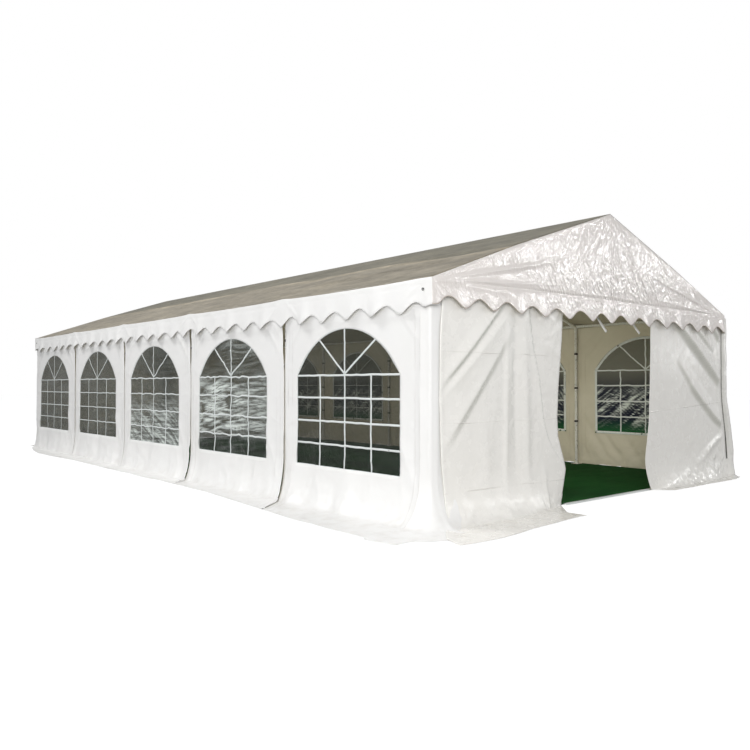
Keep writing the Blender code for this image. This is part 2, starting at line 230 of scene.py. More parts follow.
def thin_lines(tree, flat, lines, width):
    """1 on each line (axis, place, slope) of the flat sheet, and 0 from width away."""
    parts = node(tree, "SeparateXYZ", None, Vector=flat).outputs
    total = 0.0
    for axis, place, slope in lines:
        main, other = (parts["X"], parts["Y"]) if axis == "upright" else (parts["Y"], parts["X"])
        off = sums(tree, "SUBTRACT", main, sums(tree, "ADD", sums(tree, "MULTIPLY", other, slope), place))
        near = spread(tree, sums(tree, "ABSOLUTE", off, 0.0), 1.0, 0.0, 0.0, width)
        total = sums(tree, "MAXIMUM", near, total)
    return total


def crush_lines(tree, where, scale, width):
    """Crushed sheet: the borders of crooked cells, 1 on a border and 0 away from it."""
    cells = node(tree, "TexVoronoi", {"feature": "DISTANCE_TO_EDGE"}, Vector=where, Scale=scale)
    return node(tree, "MapRange", {"interpolation_type": "SMOOTHSTEP"}, Value=cells.outputs[0],
                From_Min=0.0, From_Max=width, To_Min=1.0, To_Max=0.0).outputs[0]


makers = (grain, bent, creases, turned, thin_lines, crush_lines)
print("helpers for patterns:", [maker.__name__ for maker in makers])


# %% Colours, sums and relief
def ramp(tree, value, low, high, first=0.0, last=1.0):
    """Two colours, blended as value goes from first to last."""
    made = node(tree, "ValToRGB", None, Fac=value)
    stops = made.color_ramp.elements
    stops[0].position, stops[0].color = first, (*low, 1.0)
    stops[1].position, stops[1].color = last, (*high, 1.0)
    return made.outputs[0]


def spread(tree, value, low, high, first=0.0, last=1.0):
    """value from first to last becomes low to high."""
    return node(tree, "MapRange", None, Value=value, From_Min=first, From_Max=last,
                To_Min=low, To_Max=high).outputs[0]


def sums(tree, operation, first, second):
    """One sum of two values or sockets."""
    made = node(tree, "Math", {"operation": operation})
    for socket, value in zip(made.inputs, (first, second)):
        if isinstance(value, bpy.types.NodeSocket):
            tree.links.new(value, socket)
        else:
            socket.default_value = value
    return made.outputs[0]


def weighted(tree, *pairs):
    """The sum of (value, weight) pairs, each value times its weight."""
    parts = [sums(tree, "MULTIPLY", value, weight) for value, weight in pairs]
    total = parts[0]
    for part in parts[1:]:
        total = sums(tree, "ADD", total, part)
    return total


def tinted(tree, color, tint, share):
    """A colour times the tint, as far as share says."""
    return node(tree, "MixRGB", {"blend_type": "MULTIPLY"}, Fac=share, Color1=color, Color2=tint).outputs[0]


def raise_surface(tree, shader, *heights):
    """Bumps on the shader from (height socket, depth in metres, strength), one on the other."""
    before = None
    for height, depth, strength in heights:
        bump = node(tree, "Bump", None, Height=height, Distance=depth, Strength=strength)
        if before is not None:
            tree.links.new(before, bump.inputs["Normal"])
        before = bump.outputs[0]
    tree.links.new(before, shader.inputs["Normal"])


print("helpers for colour and relief:", [made.__name__ for made in (ramp, spread, sums, weighted, tinted)])

# %% [markdown]
# ## Coated sheet
#
# The cover is woven plastic tape with a glossy white skin. It was folded for its carton, so it
# has crushed lines all over, and close up the tape shows as a fine square weave. Outside it is
# white, with a little soil near the ground. Inside the same sheet is in shade and looks the
# colour of cream, so each sheet has one finish for its outer face and one for its inner face.
# Every small crease could be in the mesh, but that takes millions of points. So the mesh has
# the folds that are wider than a hand, and the finish adds the finer ones as relief.

# %% Coated sheet
# The first tint is soil near the ground; the second is painted shade along pressed folds and seams, and the
# third painted shade on one side of each fold.
DIRT_TINT, PRESSED_SHADE_TINT, FOLD_SHADE_TINT = (0.82, 0.8, 0.77, 1.0), (0.87, 0.85, 0.84, 1.0), (0.72, 0.73, 0.7, 1.0)
LINE_WIDTH = 0.007  # of a pressed fold or seam, in metres
SLANT_ANGLE, SLANT_STRETCH = -0.98, (1.7, 3.6, 3.6)


def sheet_finish(name, clean, soiled, roughness, crush, soil_height=0.0, gloss=0.5, slanted=False,
                 lines=()):
    """Coated sheet; crush is the strength of its creases, which are finer and aslant if slanted.

    Dirt reaches soil_height up from the ground, and lines are folds and seams pressed into the
    sheet, which also darken it a little as painted shade. Two numbers of the mesh change it: one
    darkens it as painted shade on one side of each fold, and crumpled makes it shiny and creased.
    """
    made, tree, shader = start_finish(name, roughness, Specular_IOR_Level=gloss)
    where, flat = places(tree), places(tree, source="UV")
    crooked = bent(tree, where, 4.0, 0.16)
    color = ramp(tree, grain(tree, where, 1.3, 4.0, 0.6), soiled, clean, 0.25, 0.6)
    if soil_height:
        height = node(tree, "SeparateXYZ", None, Vector=where).outputs["Z"]
        dirt = spread(tree, height, 1.0, 0.0, 0.0, soil_height)
        patch = spread(tree, grain(tree, where, 7.0, 5.0, 0.65), 0.0, 0.75, 0.45, 0.75)
        color = tinted(tree, color, DIRT_TINT, sums(tree, "MULTIPLY", dirt, patch))
    if lines:
        pressed = thin_lines(tree, bent(tree, flat, 2.5, 0.012), lines, LINE_WIDTH)
        broken = spread(tree, grain(tree, where, 3.0), 0.1, 1.0, 0.42, 0.6)
        pressed = sums(tree, "MULTIPLY", pressed, broken)
        # The pressed lines also darken the colour a little: painted shade along each fold and seam.
        color = tinted(tree, color, PRESSED_SHADE_TINT, pressed)
    # Painted shade: a number of the mesh greys one side of each fold.
    color = tinted(tree, color, FOLD_SHADE_TINT, number_on(tree, "fold_shade"))
    tree.links.new(color, shader.inputs["Base Color"])
    crumpled = number_on(tree, "crumpled")
    dull = spread(tree, grain(tree, where, 9.0), roughness - 0.07, roughness + 0.1)
    smooth = sums(tree, "SUBTRACT", dull, sums(tree, "MULTIPLY", crumpled, 0.13))
    tree.links.new(smooth, shader.inputs["Roughness"])
    creased = turned(tree, crooked, SLANT_ANGLE, SLANT_STRETCH) if slanted else crooked
    size, finer = (0.58, 1.2) if slanted else (1.0, 1.0)
    tape_across, tape_up = (
        node(tree, "TexWave", {"bands_direction": axis}, Vector=flat, Scale=52.0).outputs[0] for axis in "XY"
    )
    heights = [
        (sums(tree, "MULTIPLY", tape_across, tape_up), 0.0002, 0.25),
        (creases(tree, creased, 5.0 * finer), 0.0100 * size, crush),
        (creases(tree, creased, 17.0 * finer, 3.0), 0.0035 * size, crush),
        (grain(tree, where, 30.0 * finer, 4.0, 0.6), 0.0012 / finer, 0.6 * crush),
        (sums(tree, "MULTIPLY", creases(tree, crooked, 10.0, 4.0), crumpled), 0.022, 1.0),
    ]
    if lines:
        heights.append((pressed, 0.004, 0.8))
    raise_surface(tree, shader, *heights)
    return made


print("creases of", [round(100 / scale) for scale in (5.0, 17.0, 30.0)], "cm, one on the other")

# %% The sheets' finishes
WHITE, OFF_WHITE = (0.93, 0.922, 0.905), (0.9, 0.89, 0.87)
CURTAIN, OFF_CURTAIN = (0.93, 0.91, 0.865), (0.915, 0.893, 0.845)
WALL_SEAMS = [("upright", place, 0.0) for place in (0.075, 0.14, 1.86, 1.925)]
PACKING_FOLDS = [("level", place, 0.0) for place in (1.385, 0.81, 0.24)]
finish_wall = sheet_finish("wall_sheet_outside", WHITE, OFF_WHITE, 0.34, 0.25, 0.12, lines=WALL_SEAMS)
finish_curtain = sheet_finish("curtain_sheet_outside", CURTAIN, OFF_CURTAIN, 0.25, 0.14, 0.05,
                              lines=PACKING_FOLDS)
finish_slanted_fold = sheet_finish("curtain_sheet_one_fold", CURTAIN, OFF_CURTAIN, 0.25, 0.14, 0.05,
                                   lines=[("level", 0.78, 0.055)])
finish_gable = sheet_finish("gable_sheet_outside", (0.865, 0.81, 0.77), (0.805, 0.755, 0.72), 0.11, 0.9,
                            gloss=0.8, slanted=True, lines=[("upright", 0.02, 0.0), ("upright", 0.055, 0.0)])
# Painted shade: the inner faces are the same white sheet, cream here and darker brown under the roof.
finish_inside = sheet_finish("sheet_inside", (0.68, 0.64, 0.53), (0.6, 0.56, 0.45), 0.45, 0.7,
                             lines=WALL_SEAMS)
finish_ceiling = sheet_finish("sheet_inside_roof", (0.46, 0.42, 0.33), (0.38, 0.345, 0.27), 0.5, 0.35)
# The roof's grey and beige is painted shade: the real cover is the same white sheet as the walls.
finish_roof = sheet_finish("roof_sheet_outside", (0.345, 0.302, 0.226), (0.29, 0.252, 0.188), 0.42, 0.7)
print("sheet finishes", [made.name for made in bpy.data.materials if "sheet" in made.name])

# %% [markdown]
# The roof is the same white sheet, coloured grey and beige here as painted shade. Above the
# crease that the purlin makes it is darker than below, as painted shade, with a paler band under
# the crease as painted light, and long brushed streaks run down its length. A second material on
# the upper half would give a hard border. Instead the mesh carries two numbers for each point, and
# the finish fades from tone to tone by them.

# %% The roof's two tones
roof_tree = finish_roof.node_tree
roof_shader = roof_tree.nodes["Principled BSDF"]
long_streaks = grain(roof_tree, places(roof_tree, (3.6, 0.9, 3.6)), 1.6, 6.0, 0.7)
short_places = bent(roof_tree, places(roof_tree, (17.0, 6.0, 17.0)), 1.0, 0.6)
short_streaks = grain(roof_tree, short_places, 1.0, 6.0, 0.8)
streaks = weighted(roof_tree, (long_streaks, 0.5), (short_streaks, 0.5))
tone = ramp(roof_tree, streaks, (0.62, 0.61, 0.58), (1.28, 1.28, 1.28), 0.41, 0.60)
roof_color = tinted(roof_tree, roof_shader.inputs["Base Color"].links[0].from_socket, tone, 1.0)
# Painted shade darkens the roof above the crease, and painted light brightens a band below it.
roof_color = tinted(roof_tree, roof_color, (0.66, 0.68, 0.64, 1.0), number_on(roof_tree, "upper"))
roof_color = tinted(roof_tree, roof_color, (1.3, 1.28, 1.24, 1.0), number_on(roof_tree, "band"))
roof_tree.links.new(roof_color, roof_shader.inputs["Base Color"])
print("nodes in the roof's finish", len(roof_tree.nodes))

# %% [markdown]
# ## Clear film, bars, webbing, steel and carpet
#
# The windows are soft clear film. Each point of a film carries a number, haze: where the film
# is creased it is whiter and hides more. Its alpha is what lets the room behind show: real
# refraction would need thick film and many more samples. The film on the right looks out on
# dusk and grass, so its finish is nearly solid, with the dim dusk light and the grass beyond
# painted on as soft bands by height. The window bars are white tape on the film. The tubes are
# galvanised, which leaves large flat crystals that differ a little in gloss. The floor is short
# green pile, as grain and relief, because real hairs would be too many to draw.

# %% Film
def film_finish(name, clear, clear_alpha):
    """Clear film: alpha grows from clear_alpha, and the colour from clear to white, with haze."""
    made, tree, shader = start_finish(name, 0.12, Specular_IOR_Level=0.26)
    where = places(tree)
    specks = spread(tree, grain(tree, where, 42.0, 4.0, 0.7), 0.0, 1.0, 0.64, 0.72)
    cloud = grain(tree, where, 3.0, 4.0, 0.6)
    level_places = bent(tree, places(tree, (1.0, 1.0, 12.0)), 1.2, 0.35)
    ripples = spread(tree, grain(tree, level_places, 2.6, 6.0, 0.7), 0.3, 1.35, 0.38, 0.54)
    total = weighted(tree, (number_on(tree, "haze"), ripples), (specks, 0.16), (cloud, 0.04))
    tree.links.new(ramp(tree, total, clear, (0.74, 0.79, 0.75), 0.03, 0.9), shader.inputs["Base Color"])
    tree.links.new(spread(tree, total, clear_alpha, 0.97, 0.03, 0.9), shader.inputs["Alpha"])
    raise_surface(tree, shader, (crush_lines(tree, bent(tree, where, 5.0, 0.12), 13.0, 0.14), 0.003, 0.5),
                  (grain(tree, where, 16.0), 0.003, 0.3))
    return made


finish_film_left = film_finish("window_film_left", (0.025, 0.028, 0.024), 0.5)
finish_film_right = film_finish("window_film_right", (0.012, 0.016, 0.034), 0.965)
print("films", finish_film_left.name, finish_film_right.name)

# %% Dusk and grass painted on the right-hand film
film_tree = finish_film_right.node_tree
film_shader = film_tree.nodes["Principled BSDF"]
film_height = node(film_tree, "SeparateXYZ", None, Vector=places(film_tree)).outputs["Z"]
upward = spread(film_tree, film_height, 0.0, 1.0, 1.0, 1.35)
# Painted view: dim dusk light above and green grass below, as seen through the far window.
dusk = ramp(film_tree, upward, (0.012, 0.016, 0.036), (0.2, 0.2, 0.17))
lighter = node(film_tree, "MixRGB", {"blend_type": "LIGHTEN"}, Fac=1.0, Color2=dusk,
               Color1=film_shader.inputs["Base Color"].links[0].from_socket)
grass = node(film_tree, "MixRGB", {"blend_type": "MIX"}, Color1=lighter.outputs[0],
             Color2=(0.012, 0.09, 0.03, 1.0), Fac=spread(film_tree, film_height, 1.0, 0.0, 0.5, 0.66))
film_tree.links.new(grass.outputs[0], film_shader.inputs["Base Color"])
print("nodes in the right-hand film's finish", len(film_tree.nodes))


# %% Tape and webbing
def plain_weave(name, color, dark, roughness, size, depth):
    """Woven tape: two crossed wave patterns of threads, a little darker between them."""
    made, tree, shader = start_finish(name, roughness)
    where = places(tree)
    threads = node(tree, "TexWave", {"bands_direction": "DIAGONAL"}, Vector=where, Scale=size,
                   Distortion=0.6).outputs[0]
    shade = sums(tree, "MULTIPLY", threads, grain(tree, where, 12.0))
    tree.links.new(ramp(tree, shade, dark, color, 0.0, 0.45), shader.inputs["Base Color"])
    raise_surface(tree, shader, (threads, depth, 0.5))
    return made


finish_bar = plain_weave("window_bar_tape", (0.84, 0.87, 0.86), (0.7, 0.74, 0.73), 0.4, 90.0, 0.0004)
finish_strap = plain_weave("strap_webbing", (0.96, 0.95, 0.92), (0.84, 0.83, 0.78), 0.75, 110.0, 0.0008)
finish_binding = plain_weave("edge_binding", (0.64, 0.57, 0.5), (0.5, 0.44, 0.38), 0.5, 90.0, 0.0005)
finish_white_binding = plain_weave("white_binding", (0.93, 0.925, 0.91), (0.86, 0.85, 0.83), 0.5, 90.0,
                                   0.0005)
# A near-black woven strip that stands for the shadow in the gap at the right corner: painted shadow.
finish_shadow_strip = plain_weave("corner_shadow_strip", (0.17, 0.165, 0.135), (0.08, 0.078, 0.065), 0.6, 110.0, 0.0006)
finish_tie = plain_weave("dark_tie", (0.035, 0.035, 0.038), (0.015, 0.015, 0.016), 0.6, 120.0, 0.0006)
print("woven finishes", [made.name for made in (finish_bar, finish_strap, finish_binding, finish_shadow_strip)])

# %% Steel and green pile
finish_steel, steel_tree, steel_shader = start_finish("galvanised_steel", 0.36, Metallic=0.3)
steel_where = places(steel_tree)
crystals = node(steel_tree, "TexVoronoi", None, Vector=bent(steel_tree, steel_where, 30.0, 0.01),
                Scale=70.0).outputs["Color"]
steel_cloud = grain(steel_tree, steel_where, 5.0, 5.0)
crystal_tone = weighted(steel_tree, (crystals, 0.5), (steel_cloud, 0.5))
steel_tree.links.new(ramp(steel_tree, crystal_tone, (0.74, 0.74, 0.72), (0.97, 0.97, 0.94), 0.25, 0.75),
                     steel_shader.inputs["Base Color"])
steel_tree.links.new(spread(steel_tree, crystal_tone, 0.26, 0.5, 0.3, 0.7), steel_shader.inputs["Roughness"])
raise_surface(steel_tree, steel_shader, (steel_cloud, 0.0006, 0.3))

finish_carpet, carpet_tree, carpet_shader = start_finish("green_pile", 0.95, Specular_IOR_Level=0.12)
carpet_where = places(carpet_tree)
pile = grain(carpet_tree, carpet_where, 260.0, 2.0)
worn = grain(carpet_tree, places(carpet_tree, (1.0, 2.6, 1.0)), 2.2, 6.0, 0.65)
pile_tone = weighted(carpet_tree, (pile, 0.55), (worn, 0.45))
carpet_tree.links.new(ramp(carpet_tree, pile_tone, (0.004, 0.04, 0.009), (0.022, 0.115, 0.027), 0.3, 0.7),
                      carpet_shader.inputs["Base Color"])
raise_surface(carpet_tree, carpet_shader, (pile, 0.004, 0.9), (worn, 0.004, 0.4))
print("steel", finish_steel.name, "and carpet", finish_carpet.name)


# %% The studio floor's finishes
def floor_finish(name, shade, glow):
    """Pale studio floor; glow is light of its own, which keeps it as white as the page."""
    made, tree, shader = start_finish(name, 0.9, Specular_IOR_Level=0.1)
    cloud = grain(tree, places(tree), 0.6)
    tree.links.new(ramp(tree, cloud, (shade,) * 3, (shade + 0.02,) * 3), shader.inputs["Base Color"])
    shader.inputs["Emission Color"].default_value = (1.0, 1.0, 1.0, 1.0)
    shader.inputs["Emission Strength"].default_value = glow
    return made


finish_floor_seen = floor_finish("studio_floor_seen", 0.45, 0.78)
finish_floor_lit = floor_finish("studio_floor_lit", 0.55, 0.0)
print("finishes", len(bpy.data.materials))

# %% [markdown]
# ## How a sheet is made
#
# Every sheet is a grid of points: rows go down the sheet and columns go along it. A cloth
# simulation would crease it too, but never twice alike and never where the real one creases.
# So formulas shape it. Hills are random heights on a lattice joined by S-curves, for soft
# waves, and for crushed lines where two slopes meet. A fold is a rounded bulge along a line
# from one point to another, and a ridge has a sharp crest. The random tables come from fixed
# seeds, so each run gives the same sheet.

# %% Formulas for cloth
LATTICE = 64


def hills(u, v, seed):
    """Random heights from -1 to 1 at whole u and v, joined by the S-curve 3t^2 - 2t^3 both ways."""
    table = np.random.default_rng(seed).uniform(-1.0, 1.0, (LATTICE, LATTICE))
    i, j = np.floor(u).astype(int), np.floor(v).astype(int)
    a, b = u - i, v - j
    a, b = a * a * (3 - 2 * a), b * b * (3 - 2 * b)
    near = table[i % LATTICE, j % LATTICE] * (1 - a) + table[(i + 1) % LATTICE, j % LATTICE] * a
    far = table[i % LATTICE, (j + 1) % LATTICE] * (1 - a) + table[(i + 1) % LATTICE, (j + 1) % LATTICE] * a
    return near * (1 - b) + far * b


def crush(u, v, seed, size):
    """Crushed lines: 1 minus the size of bent hills, to a power, so crests are sharp and troughs flat."""
    p, q = u / size, v / size
    p, q = p + 0.7 * hills(0.6 * p, 0.6 * q, seed + 1), q + 0.7 * hills(0.6 * p, 0.6 * q, seed + 2)
    coarse = (1 - np.abs(hills(p, q, seed))) ** 4
    fine = (1 - np.abs(hills(2.1 * p + 9, 2.1 * q + 5, seed + 3))) ** 4
    return coarse + 0.45 * fine - 0.35


print("a hill halfway between four whole places:", hills(np.array(0.5), np.array(0.5), 1).round(3))


# %% Bells, folds, ridges and rises
def bell(off, width):
    """1 where off is nothing, and e to the minus square of off over width beside it."""
    return np.exp(-((off / width) ** 2))


def beside(u, v, start, end):
    """Share of the way from start to end, and the distance to one side of that line."""
    run_u, run_v = end[0] - start[0], end[1] - start[1]
    length = np.hypot(run_u, run_v)
    share = ((u - start[0]) * run_u + (v - start[1]) * run_v) / length**2
    return share, ((u - start[0]) * run_v - (v - start[1]) * run_u) / length


def fold(u, v, start, end, width, height):
    """A bulge from start to end: a bell across the line, and half a sine wave along it."""
    share, off = beside(u, v, start, end)
    along = np.sin(np.pi * np.clip(share, 0.0, 1.0)) ** 0.7
    return height * bell(off, width) * along


def ridge(u, v, start, end, before, after, height):
    """A sharp crest from start to end, which falls off straight over before and after it."""
    share, off = beside(u, v, start, end)
    away = np.where(off < 0, -off / before, off / after)
    along = np.sin(np.pi * np.clip(share, 0.0, 1.0)) ** 0.6
    return height * np.clip(1 - away, 0.0, 1.0) ** 1.25 * along


def rise(value, low, high):
    """0 below low, 1 above high, and an S-curve between them; low may be the larger one."""
    share = np.clip((value - low) / (high - low), 0.0, 1.0)
    return share * share * (3 - 2 * share)


def stations(*marks, spacing):
    """Numbers from the first mark to the last, about spacing apart, with each mark among them."""
    parts = [
        np.linspace(start, end, max(int(np.ceil(abs(end - start) / spacing)), 1) + 1)[:-1]
        for start, end in zip(marks[:-1], marks[1:])
    ]
    return np.concatenate([*parts, [marks[-1]]])


print("stations from 0 to 1 with a mark at 0.3:", stations(0.0, 0.3, 1.0, spacing=0.25).round(2))


# %% Put points into a mesh
SHEET_THICKNESS = 0.0012


def square_normals(spots, squares):
    """The cross product of each square's diagonals, which points out of its face."""
    return np.cross(spots[squares[:, 2]] - spots[squares[:, 0]], spots[squares[:, 3]] - spots[squares[:, 1]])


def new_piece(name, spots, squares, surfaces):
    """A smooth piece from points and the squares that join them."""
    mesh = bpy.data.meshes.new(name)
    mesh.from_pydata(spots.tolist(), [], squares.tolist())
    mesh.polygons.foreach_set("use_smooth", np.ones(len(squares), bool))
    for surface in surfaces:
        mesh.materials.append(surface)
    piece = bpy.data.objects.new(name, mesh)
    bpy.context.scene.collection.objects.link(piece)
    return piece


def thicken(piece, thickness):
    """Make a sheet thick, inwards; its second material, if it has one, goes on the inner face."""
    body = piece.modifiers.new("thickness", "SOLIDIFY")
    body.thickness = thickness
    body.offset = -1.0
    body.material_offset = 1 if len(piece.data.materials) > 1 else 0


def fasten(piece):
    """The piece rides the tent's one body."""
    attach(piece, "root")


def lay_sheet(name, points, flat, surfaces, facing, keep=None, thickness=SHEET_THICKNESS, numbers=None):
    """A sheet through points[row, column]; flat is where each point lies on the cut sheet.

    Neighbouring points are joined into squares, and keep says which squares are cloth. The
    squares are turned so that on average they look along facing.
    """
    rows, columns = points.shape[:2]
    corner = np.arange(rows * columns).reshape(rows, columns)
    squares = np.stack([corner[:-1, :-1], corner[:-1, 1:], corner[1:, 1:], corner[1:, :-1]], -1)
    squares = squares.reshape(-1, 4)
    if keep is not None:
        squares = squares[keep.ravel()]
    spots = points.reshape(-1, 3)
    if square_normals(spots, squares).sum(0) @ np.asarray(facing) < 0:
        squares = squares[:, ::-1]
    used, renumbered = np.unique(squares, return_inverse=True)
    squares = renumbered.reshape(-1, 4)
    piece = new_piece(name, spots[used], squares, surfaces)
    layer = piece.data.uv_layers.new(name="cut_sheet")
    layer.data.foreach_set("uv", flat.reshape(-1, 2)[used][squares.ravel()].astype(np.float32).ravel())
    for key, values in (numbers or {}).items():
        attribute = piece.data.attributes.new(key, "FLOAT", "POINT")
        attribute.data.foreach_set("value", values.ravel()[used].astype(np.float32))
    if thickness:
        thicken(piece, thickness)
    return piece


def hang(piece, nodes):
    """Fasten a sheet to the tent's one body, and hide the CAD solids it stands for."""
    fasten(piece)
    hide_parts(*nodes)


print("sheets are", 1000 * SHEET_THICKNESS, "mm thick")

# %% [markdown]
# ## The hanging walls
#
# A wall sheet hangs straight from the eave to knee height, swings out to the ground, and goes
# on as a flap that lies on it. A flat plane could be bent by hand, but ten walls need the same
# bend. So a wall is one profile, carried along a path in plan, and pushed in and out by its
# folds. The path of the first panel of a side turns round the corner of the tent, where it laps
# over the curtain. The window could be cut with a Boolean, which leaves a ragged edge in a grid.
# Instead the rows above the window follow its arch, and the squares inside it are left out.

# %% Sizes of a wall
WALL_X = 2.4825  # outer face of the side walls, from the middle of the tent
END_Y = 5.0285  # outer face of the curtains and the back wall
FRAME_Y = 5.0  # axis of the end frames
CORNER_R = 0.03
WALL_TOP, FLARE_TOP, FLARE_POWER = 1.93, 0.42, 1.35
WINDOW_HALF, SILL_Z, SPRING_Z, ARCH_R, ARCH_CENTER_Z = 0.73, 0.37, 1.20, 0.8444, 0.7756
GROUND, LEAST_HEIGHT = 0.004, 0.003  # of a flap on the ground, and of any point of a wall
BAY = 2.0
print("window", round(2 * WINDOW_HALF, 2), "m wide and", round(ARCH_CENTER_Z + ARCH_R - SILL_Z, 2), "m high")


# %% The profile of a wall
def arch(s, opening):
    """Height at s of the arch of an opening (center, lift); beside it, the spring line."""
    center, lift = opening
    reach = ARCH_R**2 - (s - center) ** 2
    curve = np.maximum(ARCH_CENTER_Z + np.sqrt(np.maximum(reach, 0.0)), SPRING_Z)
    return lift + np.where(np.abs(s - center) <= WINDOW_HALF, curve, SPRING_Z)


def flare_share(z):
    """How far down the flare a height is: 0 at its top, 1 on the ground."""
    return 1 - (np.clip(z, 0.0, FLARE_TOP) / FLARE_TOP) ** (1 / FLARE_POWER)


def wall_rows(s, foot, reach, opening, spacing):
    """Heights z and distances out of every point of a sheet that meets the ground at foot.

    The distance out is foot times the square of the share of the flare, and then runs on to
    reach. Rows are about spacing apart, closer in the flare and wider in the flap and above the
    window. Also gives the rows of the window's arch and of its sill.
    """
    lift = opening[1] if opening else 0.0
    spring, sill = SPRING_Z + lift, SILL_Z + lift
    top_edge = arch(s, opening) if opening else np.full_like(s, spring)
    above = [top_edge + (WALL_TOP - top_edge) * t for t in stations(1.0, 0.0, spacing=spacing / 0.62)]
    levels = stations(spring, max(sill, FLARE_TOP), min(sill, FLARE_TOP), spacing=spacing)[1:]
    shares = stations(flare_share(levels[-1]), 1.0, spacing=0.07)[1:]
    flare = FLARE_TOP * (1 - shares) ** FLARE_POWER
    flap_shares = stations(0.0, 1.0, spacing=spacing / 0.2)[1:]
    flat_rows = np.concatenate([levels, flare, 0.0 * flap_shares])
    z = np.array(above + [np.full_like(s, level) for level in flat_rows])
    out = foot * flare_share(z) ** 2
    for row, share in zip(range(-len(flap_shares), 0), flap_shares):
        out[row] = foot + (reach - foot) * share
    return z, out, (len(above) - 1, len(above) + int(np.argmin(np.abs(levels - sill))))


rows_z, rows_out, _ = wall_rows(np.zeros(1), np.full(1, 0.15), np.full(1, 0.4), None, 0.02)
print("rows of a wall", len(rows_z), "and reach", rows_out.max().round(2), "m")


# %% The path of a wall
def side_path(side, start_y):
    """Plan of a side wall: straight along Y, and round a small arc on to the front of the tent."""

    def path(s):
        past = np.maximum(CORNER_R - END_Y - (start_y + s), 0.0)
        angle = np.clip(past / CORNER_R, 0.0, np.pi / 2)
        rest = np.maximum(past - CORNER_R * np.pi / 2, 0.0)
        x = -WALL_X + CORNER_R * (1 - np.cos(angle)) + rest
        y = np.maximum(start_y + s, CORNER_R - END_Y) - CORNER_R * np.sin(angle)
        return side * -x, y, side * np.cos(angle), -np.sin(angle)

    return path


def end_path(end):
    """Plan of a front or back wall: straight along X."""
    return lambda s: (s, np.full_like(s, end * END_Y), np.zeros_like(s), np.full_like(s, float(end)))


def place_wall(path, s, z, out, relief):
    """Points of a wall: out along the path's normal and up z, then by relief across the profile."""
    run_out, run_z = np.gradient(out, axis=0), np.gradient(z, axis=0)
    length = np.maximum(np.hypot(run_out, run_z), 1e-9)
    across_out, across_z = -run_z / length, run_out / length
    relief = np.where(z < 0.02, relief * rise(out[-1] - out, 0.0, 0.12), relief)
    shifted, height = out + relief * across_out, z + relief * across_z
    height = np.where(z < 0.02, np.maximum(height, GROUND), np.maximum(height, LEAST_HEIGHT))
    x, y, normal_x, normal_y = path(s)
    return np.stack([x + normal_x * shifted, y + normal_y * shifted, height], -1)


corner_x, corner_y, _, _ = side_path(-1, -FRAME_Y)(np.array([-0.3, 0.0]))
print("the left wall laps to", corner_x.round(3), corner_y.round(3))

# %% [markdown]
# ## Ten window panels
#
# Each bay has its own panel. The light shows where it is pulled: creases run down to each post
# from the eave, a stiff hem goes down both edges, and below the window the sheet gets looser
# until it waves on the ground. One panel repeated ten times would be quicker, but it would show.
# So one function makes them all, and each has its own seed. Neighbours leave a dark slit between
# them at the top and lap over each other lower down. Tables over y say how far the foot and the
# flap of the long wall reach, so that the flap's edge runs on from one panel to the next.

# %% Relief of a side panel
SEEN_SPACING, UNSEEN_SPACING = 0.02, 0.03  # between points of the walls near the camera, and of the others
HEM, TOP_BULGE = 0.14, 0.009
TUCKED_Z = 1.84  # above it the curtains and the back wall lie behind a valance
LEFT_WRAP, RIGHT_WRAP = 0.30, 0.10  # how far the first panel laps round the corner
LOW_GAPS = (0.0, 0.017, 0.003, 0.006, 0.05)  # what stands open near the ground behind each bay
LAP = 0.010  # half of what two neighbours lap over each other
LAST_EDGE = 2.022  # the last panel runs on past its post by the tube's half


def side_relief(s, z, out, seed):
    """Soft waves and crushed lines that grow downwards, creases down to both posts, and a hem."""
    low = z - out
    loose = rise(z, 1.0, 0.1)
    relief = 0.004 * hills(s / 0.5, z / 0.8, seed) + 0.0024 * crush(s, z, seed + 3, 0.26)
    relief += loose * (0.018 * hills(s / 0.2, low / 0.9, seed + 7) + 0.010 * crush(s, low, seed + 9, 0.2))
    relief += 0.010 * rise(out, 0.1, 0.5) * hills(s / 0.16, out / 0.3, seed + 11)
    for post, inward in ((0.0, 1.0), (BAY, -1.0)):
        for start, end, width, height in (
            ((0.44, 1.84), (0.05, 1.42), 0.020, 0.010), ((0.27, 1.84), (0.03, 1.58), 0.014, 0.008),
            ((0.36, 0.75), (0.05, 0.10), 0.035, 0.010), ((0.24, 1.22), (0.02, 1.33), 0.013, 0.005),
            ((0.26, 0.98), (0.02, 1.02), 0.013, 0.005), ((0.25, 0.80), (0.02, 0.72), 0.014, 0.006),
        ):
            here, there = (post + inward * start[0], start[1]), (post + inward * end[0], end[1])
            relief += fold(s, z, here, there, width, height)
    relief += 0.004 * rise(s, HEM + 0.006, HEM - 0.006) - 0.003 * bell(s - HEM, 0.006)
    near_post = bell(s, 0.07) + bell(s - BAY, 0.07)
    relief = np.where(relief < 0, relief * (1 - np.clip(near_post, 0, 1)), relief)
    return np.where(z > 1.66, np.clip(relief, 0.0, 0.009), relief)


def corner_relief(s, z):
    """The lap round the left corner: two soft ridges with the corner between them, flat beyond."""
    wave = 1 + 0.4 * hills(z / 0.35, s * 0, 33)
    ridges = 0.013 * bell(s - 0.07, 0.03) + 0.010 * bell(s + 0.085, 0.022)
    return ridges * wave * rise(z, 1.8, 1.5) * rise(s, -0.13, -0.1)


def side_bulge(s, z):
    """Behind the right corner the wall is blown out between its ties."""
    return 0.10 * bell(s - 0.22, 0.13) * rise(z, 1.80, 1.2)


print("hem", HEM, "m from the edge, and laps of", LEFT_WRAP, "and", RIGHT_WRAP, "m")


